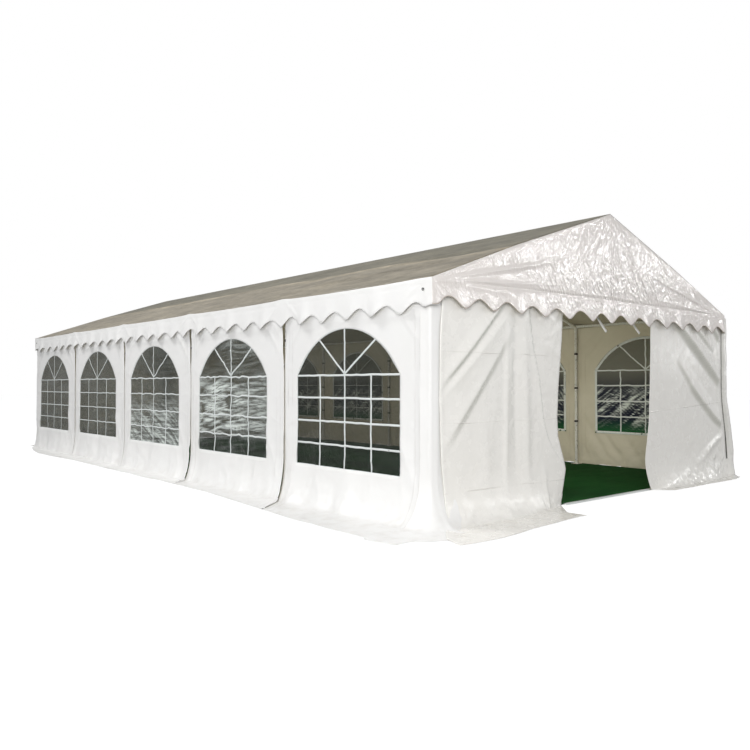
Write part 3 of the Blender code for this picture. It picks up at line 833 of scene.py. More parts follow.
# %% Foot, flap and seams of the side walls
def left_reach(y):
    """How far the flap of the left wall lies out; past the corner it is cut back in two steps."""
    marks = (-5.3, -5.046, -5.028, -5.0226, -5.0141, -5.0121, -4.95, -4.3, -3.4,
             -2.8, -2.2, -1.6, 1.0, 2.2, 3.5, 4.0, 4.4, 4.8, 5.1)
    reaches = (0.45, 0.45, 0.463, 0.486, 0.525, 0.66, 0.60, 0.597, 0.565,
               0.49, 0.42, 0.36, 0.34, 0.32, 0.36, 0.35, 0.29, 0.18, 0.08)
    return np.interp(y, marks, reaches)


def right_reach(y):
    """The right wall's flap: pulled in at the corner, and even behind it but for a slow wave."""
    wave = 0.04 * np.sin(1.3 * y + 0.5) * rise(y, -4.4, -3.6)
    return np.interp(y, (-4.8, -4.3, -3.6), (0.10, 0.28, 0.42)) + wave


def foot_out(side, y):
    """How far out the wall meets the ground."""
    if side < 0:
        return np.interp(y, (-5.0, -2.5, -0.8, 1.0, 5.0), (0.19, 0.18, 0.13, 0.10, 0.07))
    return np.full_like(y, 0.035)


def side_setting(side, bay):
    """Everything that places one bay's panel and film, as one dictionary."""
    start_y = -FRAME_Y + BAY * bay
    return {
        "path": side_path(side, start_y),
        "start_y": start_y,
        "seed": 40 * bay + (1000 if side > 0 else 0),
        "opening": (1.0 - 0.05 * side, 0.11 if side > 0 else 0.0),
        "lean": 0.8 if side < 0 else 0.2,
    }


def slit(z, low_gap):
    """Half the gap between two panels: open at the top, lapped lower down, open by low_gap at 0.26 m."""
    return -LAP + 0.029 * rise(z, 1.22, 1.5) + low_gap * bell(z - 0.26, 0.17)


def lean_flap(s, out, setting):
    """The sheet's foot drifts towards the front as it swings out, but not at the corner."""
    return s - setting["lean"] * out * rise(setting["start_y"] + s, -5.0, -3.4)


print("flap of the left wall at three places", left_reach(np.array([-5.0, 0.0, 5.0])).round(2))


# %% The ten panels
def panel_columns(bay, wrap, center, spacing):
    """Places along a panel: finer round the corner's arc, and with both sides of the window."""
    marks = [0.0, center - WINDOW_HALF, center + WINDOW_HALF, LAST_EDGE if bay == 4 else BAY]
    s = stations(*marks, spacing=spacing)
    if bay == 0:
        lap = stations(-wrap, -0.05, spacing=0.02)[:-1]
        s = np.concatenate([lap, np.linspace(-0.05, 0.004, 25), s[s > 0.008]])
    return s


def panel_relief(side, bay, columns, z, out, seed):
    """The panel's relief, even at its seams, with more at the corners and on the right-hand side."""
    relief = side_relief(columns, z, out, seed)
    if bay == 0:
        relief = relief * rise(columns, 0.0, 0.16)
        relief += corner_relief(columns, z) if side < 0 else side_bulge(columns, z) * (columns > 0)
    else:
        lapped_over = rise(columns, 0.07, 0.0) * rise(z, 1.45, 1.25)
        relief = np.where(columns < 0.1, np.maximum(relief, 0.0), relief) + 0.006 * lapped_over
    if side > 0:
        for start, end, height in (((1.93, 0.74), (1.52, 0.10), 0.024), ((1.72, 0.62), (1.26, 0.06), 0.020),
                                   ((1.98, 0.42), (1.80, 0.04), 0.014), ((1.30, 0.50), (1.00, 0.05), 0.016)):
            relief += ridge(columns, z, start, end, 0.10, 0.05, height)
    if bay < 4:
        relief = relief * rise(columns[0, -1] - columns, 0.0, 0.12)
    if side < 0:
        bulge = TOP_BULGE * rise(z, 1.62, 1.70) * rise(z, 1.93, 1.84)
        relief += bulge * (rise(columns, 0.02, 0.2) if bay == 0 else 1.0)
    return relief


def make_side_panel(side, bay):
    """One panel: a wall grid with an arched hole, and a lap round the corner where it has one."""
    side_name = SIDE_NAMES[side]
    setting = side_setting(side, bay)
    center = setting["opening"][0]
    wrap = LEFT_WRAP if side < 0 else RIGHT_WRAP
    spacing = SEEN_SPACING if side < 0 or bay == 0 else UNSEEN_SPACING
    s = panel_columns(bay, wrap, center, spacing)
    first, last = s[0], s[-1]
    along = setting["start_y"] + s
    ragged = 0.018 * hills(along / 0.3, s * 0 + 0.5, 21) * (along > -4.9)
    reach = (left_reach if side < 0 else right_reach)(along) + ragged
    z, out, window_rows = wall_rows(s, foot_out(side, along), reach, setting["opening"], spacing)
    columns = np.broadcast_to(s, z.shape)
    relief = panel_relief(side, bay, columns, z, out, setting["seed"])
    near_seam = slit(z, LOW_GAPS[bay - 1]) if side < 0 and bay > 0 else -LAP
    far_seam = slit(z, LOW_GAPS[bay]) if side < 0 else -LAP
    moved = columns + near_seam * rise(columns, center - WINDOW_HALF, first) * (bay > 0)
    if bay < 4 or side < 0:
        moved = moved - far_seam * rise(columns, center + WINDOW_HALF, last)
    points = place_wall(setting["path"], lean_flap(moved, out, setting), z, out, relief)
    keep = np.ones((z.shape[0] - 1, z.shape[1] - 1), bool)
    middle = (s[:-1] + s[1:]) / 2
    keep[slice(*window_rows), np.abs(middle - center) < WINDOW_HALF] = False
    panel = lay_sheet(f"window_wall_{side_name}_{bay + 1}", points, np.stack([columns, z - out], -1),
                      (finish_wall, finish_inside), (side, 0, 0.3), keep)
    hang(panel,
         [f"side_panel_{side_name}_{bay + 1}"])
    return panel


panels = [make_side_panel(side, bay) for side in (-1, 1) for bay in range(5)]
print("window panels", len(panels), "with", len(panels[0].data.polygons), "squares in the first")

# %% [markdown]
# ## Window film and its bars
#
# Behind each opening sits a piece of clear film, a little larger than the hole. A flat pane
# would be simple, but it would stick through its waving wall. So the film hangs by the same
# formulas as its panel, and has ripples of its own. On the real tent no two films are alike:
# the first is nearly flat and clear, the second is milky with dark level ripples, and the third
# is streaked aslant. The bars are strips laid on the same surface, so they wave with it.

# %% Sizes of the films
MARGIN = 0.03  # of the film, all round the opening
FILM_BEHIND = 0.0035  # from the wall's outer face
LEFT_RIPPLES, RIGHT_RIPPLE = (0.2, 0.9, 0.7, 0.35, 0.3), 0.7
print("film", round(2 * (WINDOW_HALF + MARGIN), 2), "m wide")


# %% Ripples and haze
def film_ripple(s, z, side, bay):
    """Ripples that fade to nothing at the edge of the opening, and where they turn milky."""
    center, lift = side_setting(side, bay)["opening"]
    amount = LEFT_RIPPLES[bay] if side < 0 else RIGHT_RIPPLE
    seed = 300 + 17 * bay + (500 if side > 0 else 0)
    u, v = s - center, z - lift
    up_and_down = np.minimum(v - SILL_Z, arch(s, (center, 0.0)) - v)
    inside = rise(np.minimum(WINDOW_HALF - np.abs(u), up_and_down), 0.0, 0.10)
    slant = {1: 0.12, 2: -0.5}.get(bay, 0.2) if side < 0 else 0.7
    level = v + slant * u + 0.022 * hills(s / 0.26, z / 0.3, seed + 8)
    wave = hills((s + 3) / 0.6, level / 0.055, seed) + 0.6 * hills((s + 3) / 0.4, level / 0.03, seed + 1)
    crest = (1 - np.abs(hills((s + 3) / 0.55, level / 0.036, seed + 2))) ** 3
    crest = np.maximum(crest, 0.8 * (1 - np.abs(hills((s + 3) / 0.35, level / 0.02, seed + 3))) ** 4)
    patch = 0.5 + 0.5 * hills(s / 0.5, z / 0.3, seed + 4)
    if side < 0 and bay == 1:
        milky = rise(v, 0.50, 0.66) * rise(v, 1.36, 1.08) * (0.55 + 0.45 * rise(u, -0.5, 0.4))
        haze = milky * (1.15 - 1.25 * crest) * (0.75 + 0.25 * patch) + (1 - milky) * 0.5 * crest * patch
    elif side < 0 and bay == 2:
        haze = rise(v, 1.05, 0.72) * (0.85 * crest * (0.2 + 0.8 * patch) + 0.04) + 0.08
    elif side < 0:
        haze = (0.07 if bay else 0.0) + 0.3 * amount * crest * patch
    else:
        haze = 1.9 * crest**3 * patch * rise(v, 1.15, 0.8)
    return 0.005 * amount * inside * wave, np.clip(haze, 0.0, 1.0)


def film_points(s, z, side, bay, lift=0.0):
    """Points on a film at s and z, lifted off it by lift."""
    setting = side_setting(side, bay)
    out = foot_out(side, setting["start_y"] + s) * flare_share(z) ** 2
    relief = side_relief(s, z, out, setting["seed"]) * (rise(s, 0.0, 0.16) if bay == 0 else 1.0)
    if side > 0 and bay == 0:
        relief = np.minimum(relief, 0.006) + side_bulge(s, z)
    height, haze = film_ripple(s, z, side, bay)
    away = out + np.minimum(relief, 0.006 if bay or side < 0 else 1.0) + height - FILM_BEHIND + lift
    x, y, normal_x, normal_y = setting["path"](lean_flap(s, out, setting))
    return np.stack([x + normal_x * away, y + normal_y * away, z + 0 * s], -1), haze


middle_point, middle_haze = film_points(np.array(1.05), np.array(1.0), -1, 1)
print("the second film's middle", middle_point.round(3), "and its haze", middle_haze.round(2))


# %% The films
def make_film(side, bay):
    """One film: its columns follow the arch at the top and the sill at the bottom."""
    side_name = SIDE_NAMES[side]
    center, lift = side_setting(side, bay)["opening"]
    spacing, rows = (0.028, 112) if (bay < 3 if side < 0 else bay == 0) else (0.04, 64)
    s = stations(center - WINDOW_HALF - MARGIN, center + WINDOW_HALF + MARGIN, spacing=spacing)
    share = np.linspace(0.0, 1.0, rows)[:, None]
    top = lift + ARCH_CENTER_Z + np.sqrt((ARCH_R + MARGIN) ** 2 - (s - center) ** 2)
    bottom = lift + SILL_Z - MARGIN
    z = bottom + (top - bottom) * share
    columns = np.broadcast_to(s, z.shape)
    points, haze = film_points(columns, z, side, bay)
    surface = finish_film_left if side < 0 else finish_film_right
    film = lay_sheet(f"clear_film_{side_name}_{bay + 1}", points, np.stack([columns, z], -1), (surface,),
                     (side, 0, 0), thickness=0.0005, numbers={"haze": haze})
    hang(film,
         [f"window_film_{side_name}"])
    return film


films = [make_film(side, bay) for side in (-1, 1) for bay in range(5)]
print("films", len(films), "with", len(films[0].data.polygons), "squares in the first")

# %% Where the bars run
BAR_WIDTH, BAR_THICKNESS, EDGE_WIDTH, EDGE_INSET = 0.018, 0.0026, 0.034, -0.013
BAR_STEP = 0.025  # between a bar's points
BAR_SHARES = (1.0, 0.95, 0.8, 0.68, 0.68)  # how wide the bars of each bay are; the far ones are thinner
CROSS_BARS = (0.575, 0.785, 1.0, 1.205)
OUTLINE_FROM = 10  # number of the first bar of the outline, which runs straight


def bar_lines(opening):
    """Start and end of every bar: upright, level, the arch's fan, and the outline in short runs."""
    center, lift = opening
    low, high = SILL_Z + lift + 0.004, SPRING_Z + lift
    uprights = [((center + x, low), (center + x, high)) for x in (-0.365, 0.0, 0.365)]
    reach = WINDOW_HALF - 0.004
    level = [((center - reach, z + lift), (center + reach, z + lift)) for z in CROSS_BARS]
    fan_foot = (center, high + 0.015)
    fan_tips = [center + x for x in (-0.42, 0.0, 0.37)]
    fan = [(fan_foot, (x, float(arch(np.array(x), opening)) - 0.004)) for x in fan_tips]
    left, right = center - WINDOW_HALF + EDGE_INSET, center + WINDOW_HALF - EDGE_INSET
    bottom = SILL_Z + lift + EDGE_INSET
    round_x = np.linspace(left, right, 25)
    round_z = arch(round_x, opening) - EDGE_INSET
    outline = [((left, bottom), (right, bottom)), ((left, bottom), (left, round_z[0])),
               ((right, bottom), (right, round_z[-1]))]
    outline += list(zip(zip(round_x[:-1], round_z[:-1]), zip(round_x[1:], round_z[1:])))
    return uprights + level + fan + outline


print("bars of one window, with the outline's runs:", len(bar_lines((1.0, 0.0))))


# %% The bars
def make_bars(side, bay):
    """All the bars of one film in one mesh: each is a strip of two rows of points along its line."""
    wobble = 0.012 * (LEFT_RIPPLES[bay] if side < 0 else 0.4)
    spots, squares = [], []
    for number, (start, end) in enumerate(bar_lines(side_setting(side, bay)["opening"])):
        run = np.subtract(end, start)
        length = np.hypot(*run)
        steps = int(length / BAR_STEP) + 2
        sways = wobble if length > 0.1 and number < OUTLINE_FROM else 0.0
        share = np.linspace(0.0, 1.0, steps)
        normal = np.array([-run[1], run[0]]) / length
        free = np.sin(np.pi * share) ** 0.3
        sway = sways * hills(share * length / 0.07, share * 0, 700 + number + 13 * bay) * free
        line = np.outer(share, run) + start + np.outer(sway, normal)
        half_width = (BAR_WIDTH * BAR_SHARES[bay] if number < OUTLINE_FROM else EDGE_WIDTH) / 2
        pair = np.stack([line - normal * half_width, line + normal * half_width], 1)
        lifted, _ = film_points(pair[..., 0], pair[..., 1], side, bay, 0.0012)
        low = sum(len(part) for part in spots) + 2 * np.arange(steps - 1)
        spots.append(lifted.reshape(-1, 3))
        squares.append(np.stack([low, low + 1, low + 3, low + 2], -1))
    spots, squares = np.concatenate(spots), np.concatenate(squares)
    inward = square_normals(spots, squares)[:, 0] * side < 0
    squares[inward] = squares[inward][:, ::-1]
    piece = new_piece(f"window_bars_{SIDE_NAMES[side]}_{bay + 1}", spots, squares, (finish_bar,))
    thicken(piece, BAR_THICKNESS)
    fasten(piece)
    return piece


bars = [make_bars(side, bay) for side in (-1, 1) for bay in range(5)]
print("sets of bars", len(bars), "with", len(bars[0].data.polygons), "squares in the first")

# %% [markdown]
# ## The curtains and the back wall
#
# The doorway's curtains are gathered towards the corners. The left one shows long folds that
# start where it is hooked up and run down to the corner, one upright fold, and a fold whose
# sharp edge runs down to the free edge. The sheet still has the level lines from when it was
# packed. A cloth simulation would give folds too, but in other places than the photo shows. So
# each fold is a line with two ends, a width and a height. The back wall is not seen in the
# photo; it is closed by two plain panels and a zipped door panel.

# %% Relief of the left curtain
def left_curtain_relief(s, z, out):
    """Long folds from the hooks down to the left corner, loose waves below, glossy crush at the edge."""
    low = z - out
    relief = ridge(s, low, (-1.56, 1.88), (-2.44, 1.03), 0.045, 0.10, 0.034)
    relief += ridge(s, low, (-1.42, 1.86), (-2.42, 0.93), 0.16, 0.035, 0.022)
    relief += ridge(s, low, (-1.50, 1.60), (-2.44, 0.50), 0.07, 0.20, 0.026)
    relief += ridge(s, low, (-1.55, 1.70), (-1.60, 0.00), 0.09, 0.05, 0.016)
    relief += fold(s, low, (-1.45, 1.84), (-1.44, 0.20), 0.035, -0.010)
    relief += fold(s, low, (-1.33, 1.90), (-1.28, -0.10), 0.055, 0.016)
    relief += fold(s, low, (-1.85, 0.95), (-1.80, -0.30), 0.080, 0.010)
    relief += fold(s, low, (-1.05, 0.45), (-0.98, -0.30), 0.035, 0.012)
    edge = s - np.interp(low, (-0.2, 0.37, 0.55, 0.82, 1.14, 1.44, 1.79),
                         (-0.68, -0.72, -0.85, -1.01, -1.09, -1.20, -1.27))
    relief += 0.016 * np.exp(np.minimum(edge, 0.0) / 0.11) * rise(edge, 0.012, -0.006) * rise(low, 0.2, 0.5)
    near_door = rise(s, -1.2, -0.85) * rise(z, 0.9, 1.5)
    relief += (0.0016 + 0.005 * near_door) * crush(s, low, 71, 0.14) + 0.003 * hills(s / 0.3, low / 0.5, 72)
    relief += 0.013 * rise(z, 0.5, 0.0) * hills(s / 0.12, low / 0.8, 73)
    relief += rise(z, 0.2, 0.02) * rise(out, 0.30, 0.1) * 0.010 * crush(s, low, 75, 0.10)
    relief = np.where(z > TUCKED_Z, np.clip(relief, 0.0, 0.02), relief)
    hem = 0.004 * bell(s + 2.345, 0.012)
    return np.maximum(relief, -0.004 - 0.03 * rise(s, -2.3, -2.1)) * rise(s, -2.40, -2.15) + hem


left_heights = left_curtain_relief(np.full(3, -1.9), np.array([1.6, 1.3, 1.0]), np.zeros(3))
print("the left curtain stands out", left_heights.round(3), "m at three heights")


# %% Relief of the right curtain
def right_foot(s, low):
    """Where the right curtain's foot is crumpled: a patch that climbs towards the corner, 0 to 1."""
    climb = rise(s, 1.3, 2.4)
    return rise(low, 0.12 + 0.46 * climb, -0.06 + 0.36 * climb) * rise(s, 0.98, 1.25)


def right_curtain_relief(s, z, out):
    """Folds from the hooks down to the right corner, and a crushed patch where the foot is pulled in."""
    low = z - out
    relief = ridge(s, low, (1.14, 1.98), (2.62, 1.03), 0.20, 0.075, 0.050)
    relief += ridge(s, low, (1.42, 1.40), (1.93, 0.94), 0.14, 0.05, 0.018)
    relief += ridge(s, low, (1.70, 1.12), (2.60, 0.52), 0.16, 0.060, 0.036)
    relief += ridge(s, low, (1.50, 1.96), (2.28, 1.52), 0.12, 0.045, 0.030)
    relief += ridge(s, low, (2.08, 1.98), (2.56, 1.54), 0.10, 0.050, 0.032)
    relief += ridge(s, low, (1.80, 0.18), (2.46, 0.55), 0.045, 0.09, 0.030)
    relief += 0.0018 * crush(s, low, 81, 0.2) + 0.003 * hills(s / 0.35, low / 0.5, 82)
    relief += (0.014 * right_foot(s, low) * crush(s, low, 83, 0.055)
               + 0.006 * rise(low, 0.5, 0.1) * hills(s / 0.2, low / 0.3, 85))
    relief = np.where(z > TUCKED_Z, np.clip(relief, 0.0, 0.02), relief)
    hem = 0.005 * bell(s - 2.38, 0.012) + 0.003 * bell(s - 2.43, 0.010)
    margin = rise(s, 2.50, 2.54) * (0.014 + 0.006 * hills(low / 0.16, s * 0, 87))
    return np.maximum(relief, -0.004) * rise(s, 2.47, 2.36) + hem + margin


right_heights = right_curtain_relief(np.full(3, 1.9), np.array([1.6, 1.3, 1.0]), np.zeros(3))
print("the right curtain stands out", right_heights.round(3), "m at three heights")


# %% Relief of the back wall, and the sway of both curtains
def back_relief(s, z, out):
    """Plain panels: soft waves, creases to the posts and the packing lines."""
    low = z - out
    relief = 0.005 * hills(s / 0.4, low / 0.7, 91) + 0.003 * crush(s, low, 92, 0.24)
    relief += rise(z, 0.9, 0.0) * 0.012 * hills(s / 0.25, low / 1.0, 94)
    for post, inward in ((-2.45, 1.0), (2.45, -1.0)):
        relief += fold(s, z, (post + inward * 0.5, 1.82), (post + inward * 0.05, 1.3), 0.03, 0.012)
    relief = np.where(z > TUCKED_Z, np.clip(relief, 0.0, 0.02), relief)
    return np.maximum(relief, -0.03 * rise(np.abs(s), 2.42, 2.36))


def left_sway(s, z, out):
    """The free edge's shift, and the outer edge's, which fans out over the corner's lap."""
    free = np.interp(z, (0.0, 0.16, 0.34, 0.64, 0.82, 1.14, 1.5, 1.76, 1.93),
                     (-0.08, -0.05, -0.01, -0.13, -0.14, -0.117, -0.07, -0.045, -0.04))
    free = free - np.interp(out, (0.0, 0.265, 0.45), (0.0, 0.28, 0.27))
    lap = np.interp(z, (0.0, 0.12, 0.34, 0.52, 1.0, 1.5, 1.75),
                    (0.053, 0.053, 0.021, 0.0, -0.02, -0.01, 0.012))
    lap = lap - np.minimum(out, 0.37) - 0.35 * np.maximum(out - 0.37, 0.0)
    return free * rise(s, -1.25, -0.70) + lap * rise(s, -2.0, -2.30)


def right_sway(s, z, out):
    """The free edge drifts towards the doorway as it falls, and both ends of the flap draw in."""
    free = np.interp(z, (0.0, 0.2, 0.33, 0.72, 1.12, 1.79),
                     (-0.075, -0.10, -0.11, -0.03, -0.006, 0.011)) + 1.2 * out
    beyond = rise(z, 1.1, 0.25) * (0.13 * rise(s, 2.2, 2.47) + 0.05 * rise(s, 2.47, 2.62))
    return free * rise(s, 1.3, 0.82) - 0.7 * out * rise(s, 2.1, 2.44) + beyond


free_sway = right_sway(np.array(0.82), np.array([0.2, 1.79]), 0.0)
print("the right curtain's free edge sways", free_sway.round(3), "m at its foot and top")


# %% The two curtains
def make_end_sheet(name, end, span, table, relief_of, node_name, sway=None, lift=0.0,
                   surface=finish_curtain):
    """A curtain or back panel over span; table is (places, how far its foot and its flap reach)."""
    spacing = 0.018 if end < 0 else UNSEEN_SPACING
    s = stations(*span, spacing=spacing)
    places_at, feet, reaches = table
    reach = np.interp(s, places_at, reaches) + 0.012 * hills(s / 0.22, s * 0 + 0.5, 95)
    z, out, _ = wall_rows(s, np.interp(s, places_at, feet), reach, None, spacing)
    columns = np.broadcast_to(s, z.shape)
    relief = relief_of(columns, z, out) + lift
    low = z - out
    # Painted shade: the side of each fold that faces down and away from the lamps is greyed, fully on the
    # curtains and less on the back wall.
    slope = 0.53 * np.sign(s.mean()) * np.gradient(relief, axis=1) / np.gradient(columns, axis=1)
    slope = slope + 0.85 * np.gradient(relief, axis=0) / np.gradient(low, axis=0)
    fold_shade = np.clip(slope / 0.5, 0.0, 1.0) * rise(z, TUCKED_Z, 1.80) * rise(low, 0.25, 0.5)
    fold_shade = fold_shade * (1.0 if sway else 0.3)
    crumpled = right_foot(columns, low) if sway else 0.0 * low
    moved = columns + (sway(columns, z, out) if sway else 0.0)
    points = place_wall(end_path(end), moved, z, out, relief)
    piece = lay_sheet(name, points, np.stack([columns, low], -1), (surface, finish_inside), (0, end, 0.3),
                      numbers={"fold_shade": fold_shade, "crumpled": crumpled})
    hang(piece, [node_name])
    return piece


left_table = ((-2.37, -2.15, -1.9, -1.4, -1.1, -0.7), (0.17, 0.17, 0.17, 0.15, 0.11, 0.02),
              (0.565, 0.59, 0.53, 0.475, 0.45, 0.45))
right_table = ((0.82, 1.2, 2.2, 2.45, 2.60), (0.03, 0.11, 0.11, 0.05, 0.04), (0.195, 0.20, 0.21, 0.20, 0.16))
back_table = ((-2.5, 2.5), (0.18, 0.18), (0.45, 0.45))
left_curtain = make_end_sheet("door_curtain_left", -1, (-2.37, -0.70), left_table, left_curtain_relief,
                              "curtain_left", left_sway, 0.007)
right_curtain = make_end_sheet("door_curtain_right", -1, (0.82, 2.60), right_table, right_curtain_relief,
                               "curtain_right", right_sway, 0.005, finish_slanted_fold)
print("squares of the curtains", len(left_curtain.data.polygons), len(right_curtain.data.polygons))

# %% The painted shadow strip at the right corner, and the back wall
# A near-black strip in front of the right curtain's corner: painted shadow for the dark gap line there.
shadow_strip_z = stations(1.86, 0.22, spacing=0.03)[:, None]
shadow_strip_s = np.stack([2.476 - 0.010 * rise(shadow_strip_z[:, 0], 0.62, 0.3), np.full(len(shadow_strip_z), 2.489)], -1)
shadow_strip_out = 0.05 * flare_share(shadow_strip_z) ** 2
shadow_strip_x = shadow_strip_s + right_sway(shadow_strip_s, shadow_strip_z, shadow_strip_out)
shadow_strip_y = -END_Y - 0.011 - shadow_strip_out + 0 * shadow_strip_x
shadow_strip = lay_sheet("corner_shadow_strip", np.stack([shadow_strip_x, shadow_strip_y, shadow_strip_z + 0 * shadow_strip_x], -1),
                   np.stack([shadow_strip_s, shadow_strip_z + 0 * shadow_strip_x], -1), (finish_shadow_strip,), (0, -1, 0))
fasten(shadow_strip)
back_left = make_end_sheet("back_wall_left", 1, (0.764, 2.476), back_table, back_relief,
                           "back_panel_left")
back_right = make_end_sheet("back_wall_right", 1, (-2.476, -0.764), back_table, back_relief,
                            "back_panel_right")
back_door = make_end_sheet("back_door_panel", 1, (-0.758, 0.758), back_table, back_relief, "back_door")
print("back wall", [piece.name for piece in (back_left, back_right, back_door)], "and", shadow_strip.name)

# %% [markdown]
# ## The roof
#
# The roof is one sheet laid over the ridge and both purlins. Between two frames it sags a
# little, and over each frame it is drawn tight, which lifts its eave. On the left slope the
# crease follows the purlin, and near the front it drops, where a second crease runs up from
# the eave to meet it. Two flat slopes would do from far away, but the photo sees the roof at a
# low angle, where every dip shows. So its height is one formula over the plan.

# %% The height of the roof
HALF_WIDTH, HALF_LENGTH, EAVE_Z, RIDGE_Z = 2.5, 5.07, 1.955, 2.815
ROOF_TOP = 0.0042  # upper face of the cover above the line of its underside
PURLIN_X, ROOF_EDGE = 1.25, 2.504


def crease_x(y, side):
    """Distance of the crease from the ridge."""
    if side > 0:
        return np.full_like(y, PURLIN_X)
    marks = (-5.07, -4.7, -3.8, -3.1, -2.4, -1.9, -0.75, 0.5, 5.07)
    return np.interp(y, marks, (1.49, 1.52, 1.32, 1.22, 1.24, 1.31, 1.12, 1.24, 1.25))


def roof_height(x, y):
    """Straight slopes, lifted along the crease, sagging between frames, with creases at each frame."""
    away, side = np.abs(x), np.where(x < 0, -1, 1)
    straight = RIDGE_Z - away * (RIDGE_Z - EAVE_Z) / HALF_WIDTH
    crease = np.where(side < 0, crease_x(y, -1), crease_x(y, 1))
    tent = np.where(away < crease, away / crease, (HALF_WIDTH - away) / (HALF_WIDTH - crease))
    bay = np.abs(np.sin(np.pi * (y + FRAME_Y) / 2.0))
    ends = rise(HALF_LENGTH - np.abs(y), 0.0, 0.4)
    slack = np.sin(np.pi * np.clip(away / HALF_WIDTH, 0, 1)) ** 0.5
    near_frame = bell((y + FRAME_Y + 1) % 2 - 1, 0.10)
    sag = -0.010 * bay * slack - 0.008 * bay * rise(away, 2.0, 2.5)
    tight = near_frame * (0.005 * slack + 0.008 * rise(away, 2.2, 2.5))
    waves = 0.004 * hills(away / 0.5, y / 0.8, 111) + 0.003 * hills(away / 0.22, y / 1.6, 113)
    wrinkles = 0.0022 * crush(away, y, 115, 0.35) * (0.5 + 0.5 * slack)
    second = (side < 0) * (fold(away, y, (2.35, -2.2), (1.72, -3.5), 0.10, 0.022)
                           + fold(away, y, (1.82, -3.1), (1.60, -4.9), 0.11, 0.020))
    ridge = rise(away, 0.0, 0.05)
    height = straight + 0.018 * tent + ends * ridge * (sag + tight + waves * slack + wrinkles + second)
    over_purlin = straight + 0.018 * (1 - np.abs(away - PURLIN_X) / PURLIN_X)
    held = bell(away - PURLIN_X, 0.07)
    return height + held * np.maximum(over_purlin - height, 0.0) + ROOF_TOP


print("the roof's ridge is", roof_height(np.zeros(1), np.zeros(1)).round(3), "m up")

# %% The roof cover
roof_s = stations(-ROOF_EDGE, -PURLIN_X, 0.0, PURLIN_X, ROOF_EDGE, spacing=0.045)
roof_y = stations(-HALF_LENGTH, HALF_LENGTH, spacing=0.06)
roof_x, roof_along = np.meshgrid(roof_s, roof_y)
roof_points = np.stack([roof_x, roof_along, roof_height(roof_x, roof_along)], -1)
crease_share = np.abs(roof_x) / np.where(roof_x < 0, crease_x(roof_along, -1), PURLIN_X)
# Where the roof gets painted shade above the crease, and a band of painted light below it.
painted_shade_above_crease = 1 - rise(crease_share, 0.985, 1.015)
painted_light_band = rise(crease_share, 1.0, 1.02) * rise(crease_share, 1.16, 1.04)
roof = lay_sheet("roof_cover", roof_points, np.stack([roof_x, roof_along], -1), (finish_roof, finish_ceiling),
                 (0, 0, 1), numbers={"upper": painted_shade_above_crease, "band": painted_light_band})
hang(roof,
     ["roof_left", "roof_right"])
print("roof cover", len(roof.data.polygons), "squares")

# %% [markdown]
# ## Gables and valances
#
# The gable is the glossiest sheet and is crushed all over, in streaks that lean to the right.
# Below the eave it goes on as a valance with a wavy edge that curls forward at each lobe. The
# side valances have the same edge. The waves could be cut out of a flat sheet, but the cut would
# be ragged, so the last row of points follows them. A narrow binding is sewn round every wave,
# and it is a strip of its own.

# %% The wavy edge
CORNER_EDGE_Z = 1.745  # where the gable's edge and the side valance's meet at a corner


def wavy_edge(share, count, notch, lobe, to_corner, seed):
    """Height of the edge: a cosine wave with round notches, each wave a little different."""
    waves = share * count + 0.05 * hills(share * count, share * 0, seed)
    height = lobe + (notch - lobe) * (0.5 - 0.5 * np.cos(2 * np.pi * waves))
    height = height + 0.009 * hills(share * count + 0.5, share * 0 + 0.5, seed + 1)
    return height + (CORNER_EDGE_Z - height) * rise(to_corner, 0.14, 0.0)


def curl(share, count, drop, lean, seed):
    """How far the sheet leans out: it grows with the drop below the eave, and by lean at the lobes."""
    lobes = (0.5 + 0.5 * np.cos(2 * np.pi * (count * share + 0.17))) ** 1.5
    return drop * (0.03 + lean * lobes * (1 + 0.6 * hills(share * count, share * 0, seed)))


edge_heights = wavy_edge(np.array([0.0, 0.5]), 1, 1.815, 1.73, np.ones(2), 121)
print("the edge at a lobe and at a notch", edge_heights.round(3))

# %% Relief of the gables
GABLE_LOBES = 14
GABLE_HALF, GABLE_Y = 2.5031, 5.0705  # half its width, and its place along the tent
ABOVE, BELOW = 0.8, 0.2  # shares of a gable's rows above and below the eave
LEAN_ANGLE = np.radians(56)  # of the crushed streaks, up from the level


def gable_relief(x, z, seed):
    """Crushed streaks of three sizes, creases fanned out from the corners and the apex, and the eave line."""
    up = x * np.cos(LEAN_ANGLE) + z * np.sin(LEAN_ANGLE)
    over = z * np.cos(LEAN_ANGLE) - x * np.sin(LEAN_ANGLE)
    busy = 0.6 + 0.6 * rise(x, -2.0, -0.4)
    crushed = 0.0014 * crush(0.42 * up, over, seed, 0.08) + 0.0017 * crush(0.5 * up, over, seed + 5, 0.036)
    relief = busy * crushed
    relief += 0.003 * hills(up / 0.6, over / 0.22, seed + 9)
    relief += 0.0022 * busy * bell(z - 1.89, 0.05) * crush(x, z, seed + 13, 0.05)
    for corner in (-1, 1):
        for number, (far_x, far_z, height) in enumerate(
            ((0.9, 2.03, 0.006), (1.1, 2.2, 0.005), (0.6, 2.31, 0.004), (1.5, 2.02, 0.005), (1.3, 1.9, 0.004))
        ):
            start, end = (corner * 2.48, 1.93), (corner * far_x, far_z)
            relief += fold(x, z, start, end, 0.016 + 0.003 * number, height)
    for number, far_x in enumerate((-0.75, -0.45, -0.2, 0.18, 0.32, 0.55, 0.8)):
        relief += fold(x, z, (0.0, 2.82), (far_x, 2.0 + 0.05 * (number % 3)), 0.020, 0.0035)
    eave_line = z - EAVE_Z - 0.010 * hills(x / 0.4, x * 0, seed + 7)
    return relief - 0.008 * bell(eave_line, 0.012) * rise(np.abs(x), 2.3, 1.9)


print("the crushed streaks lean", round(float(np.degrees(LEAN_ANGLE))), "degrees up from the level")


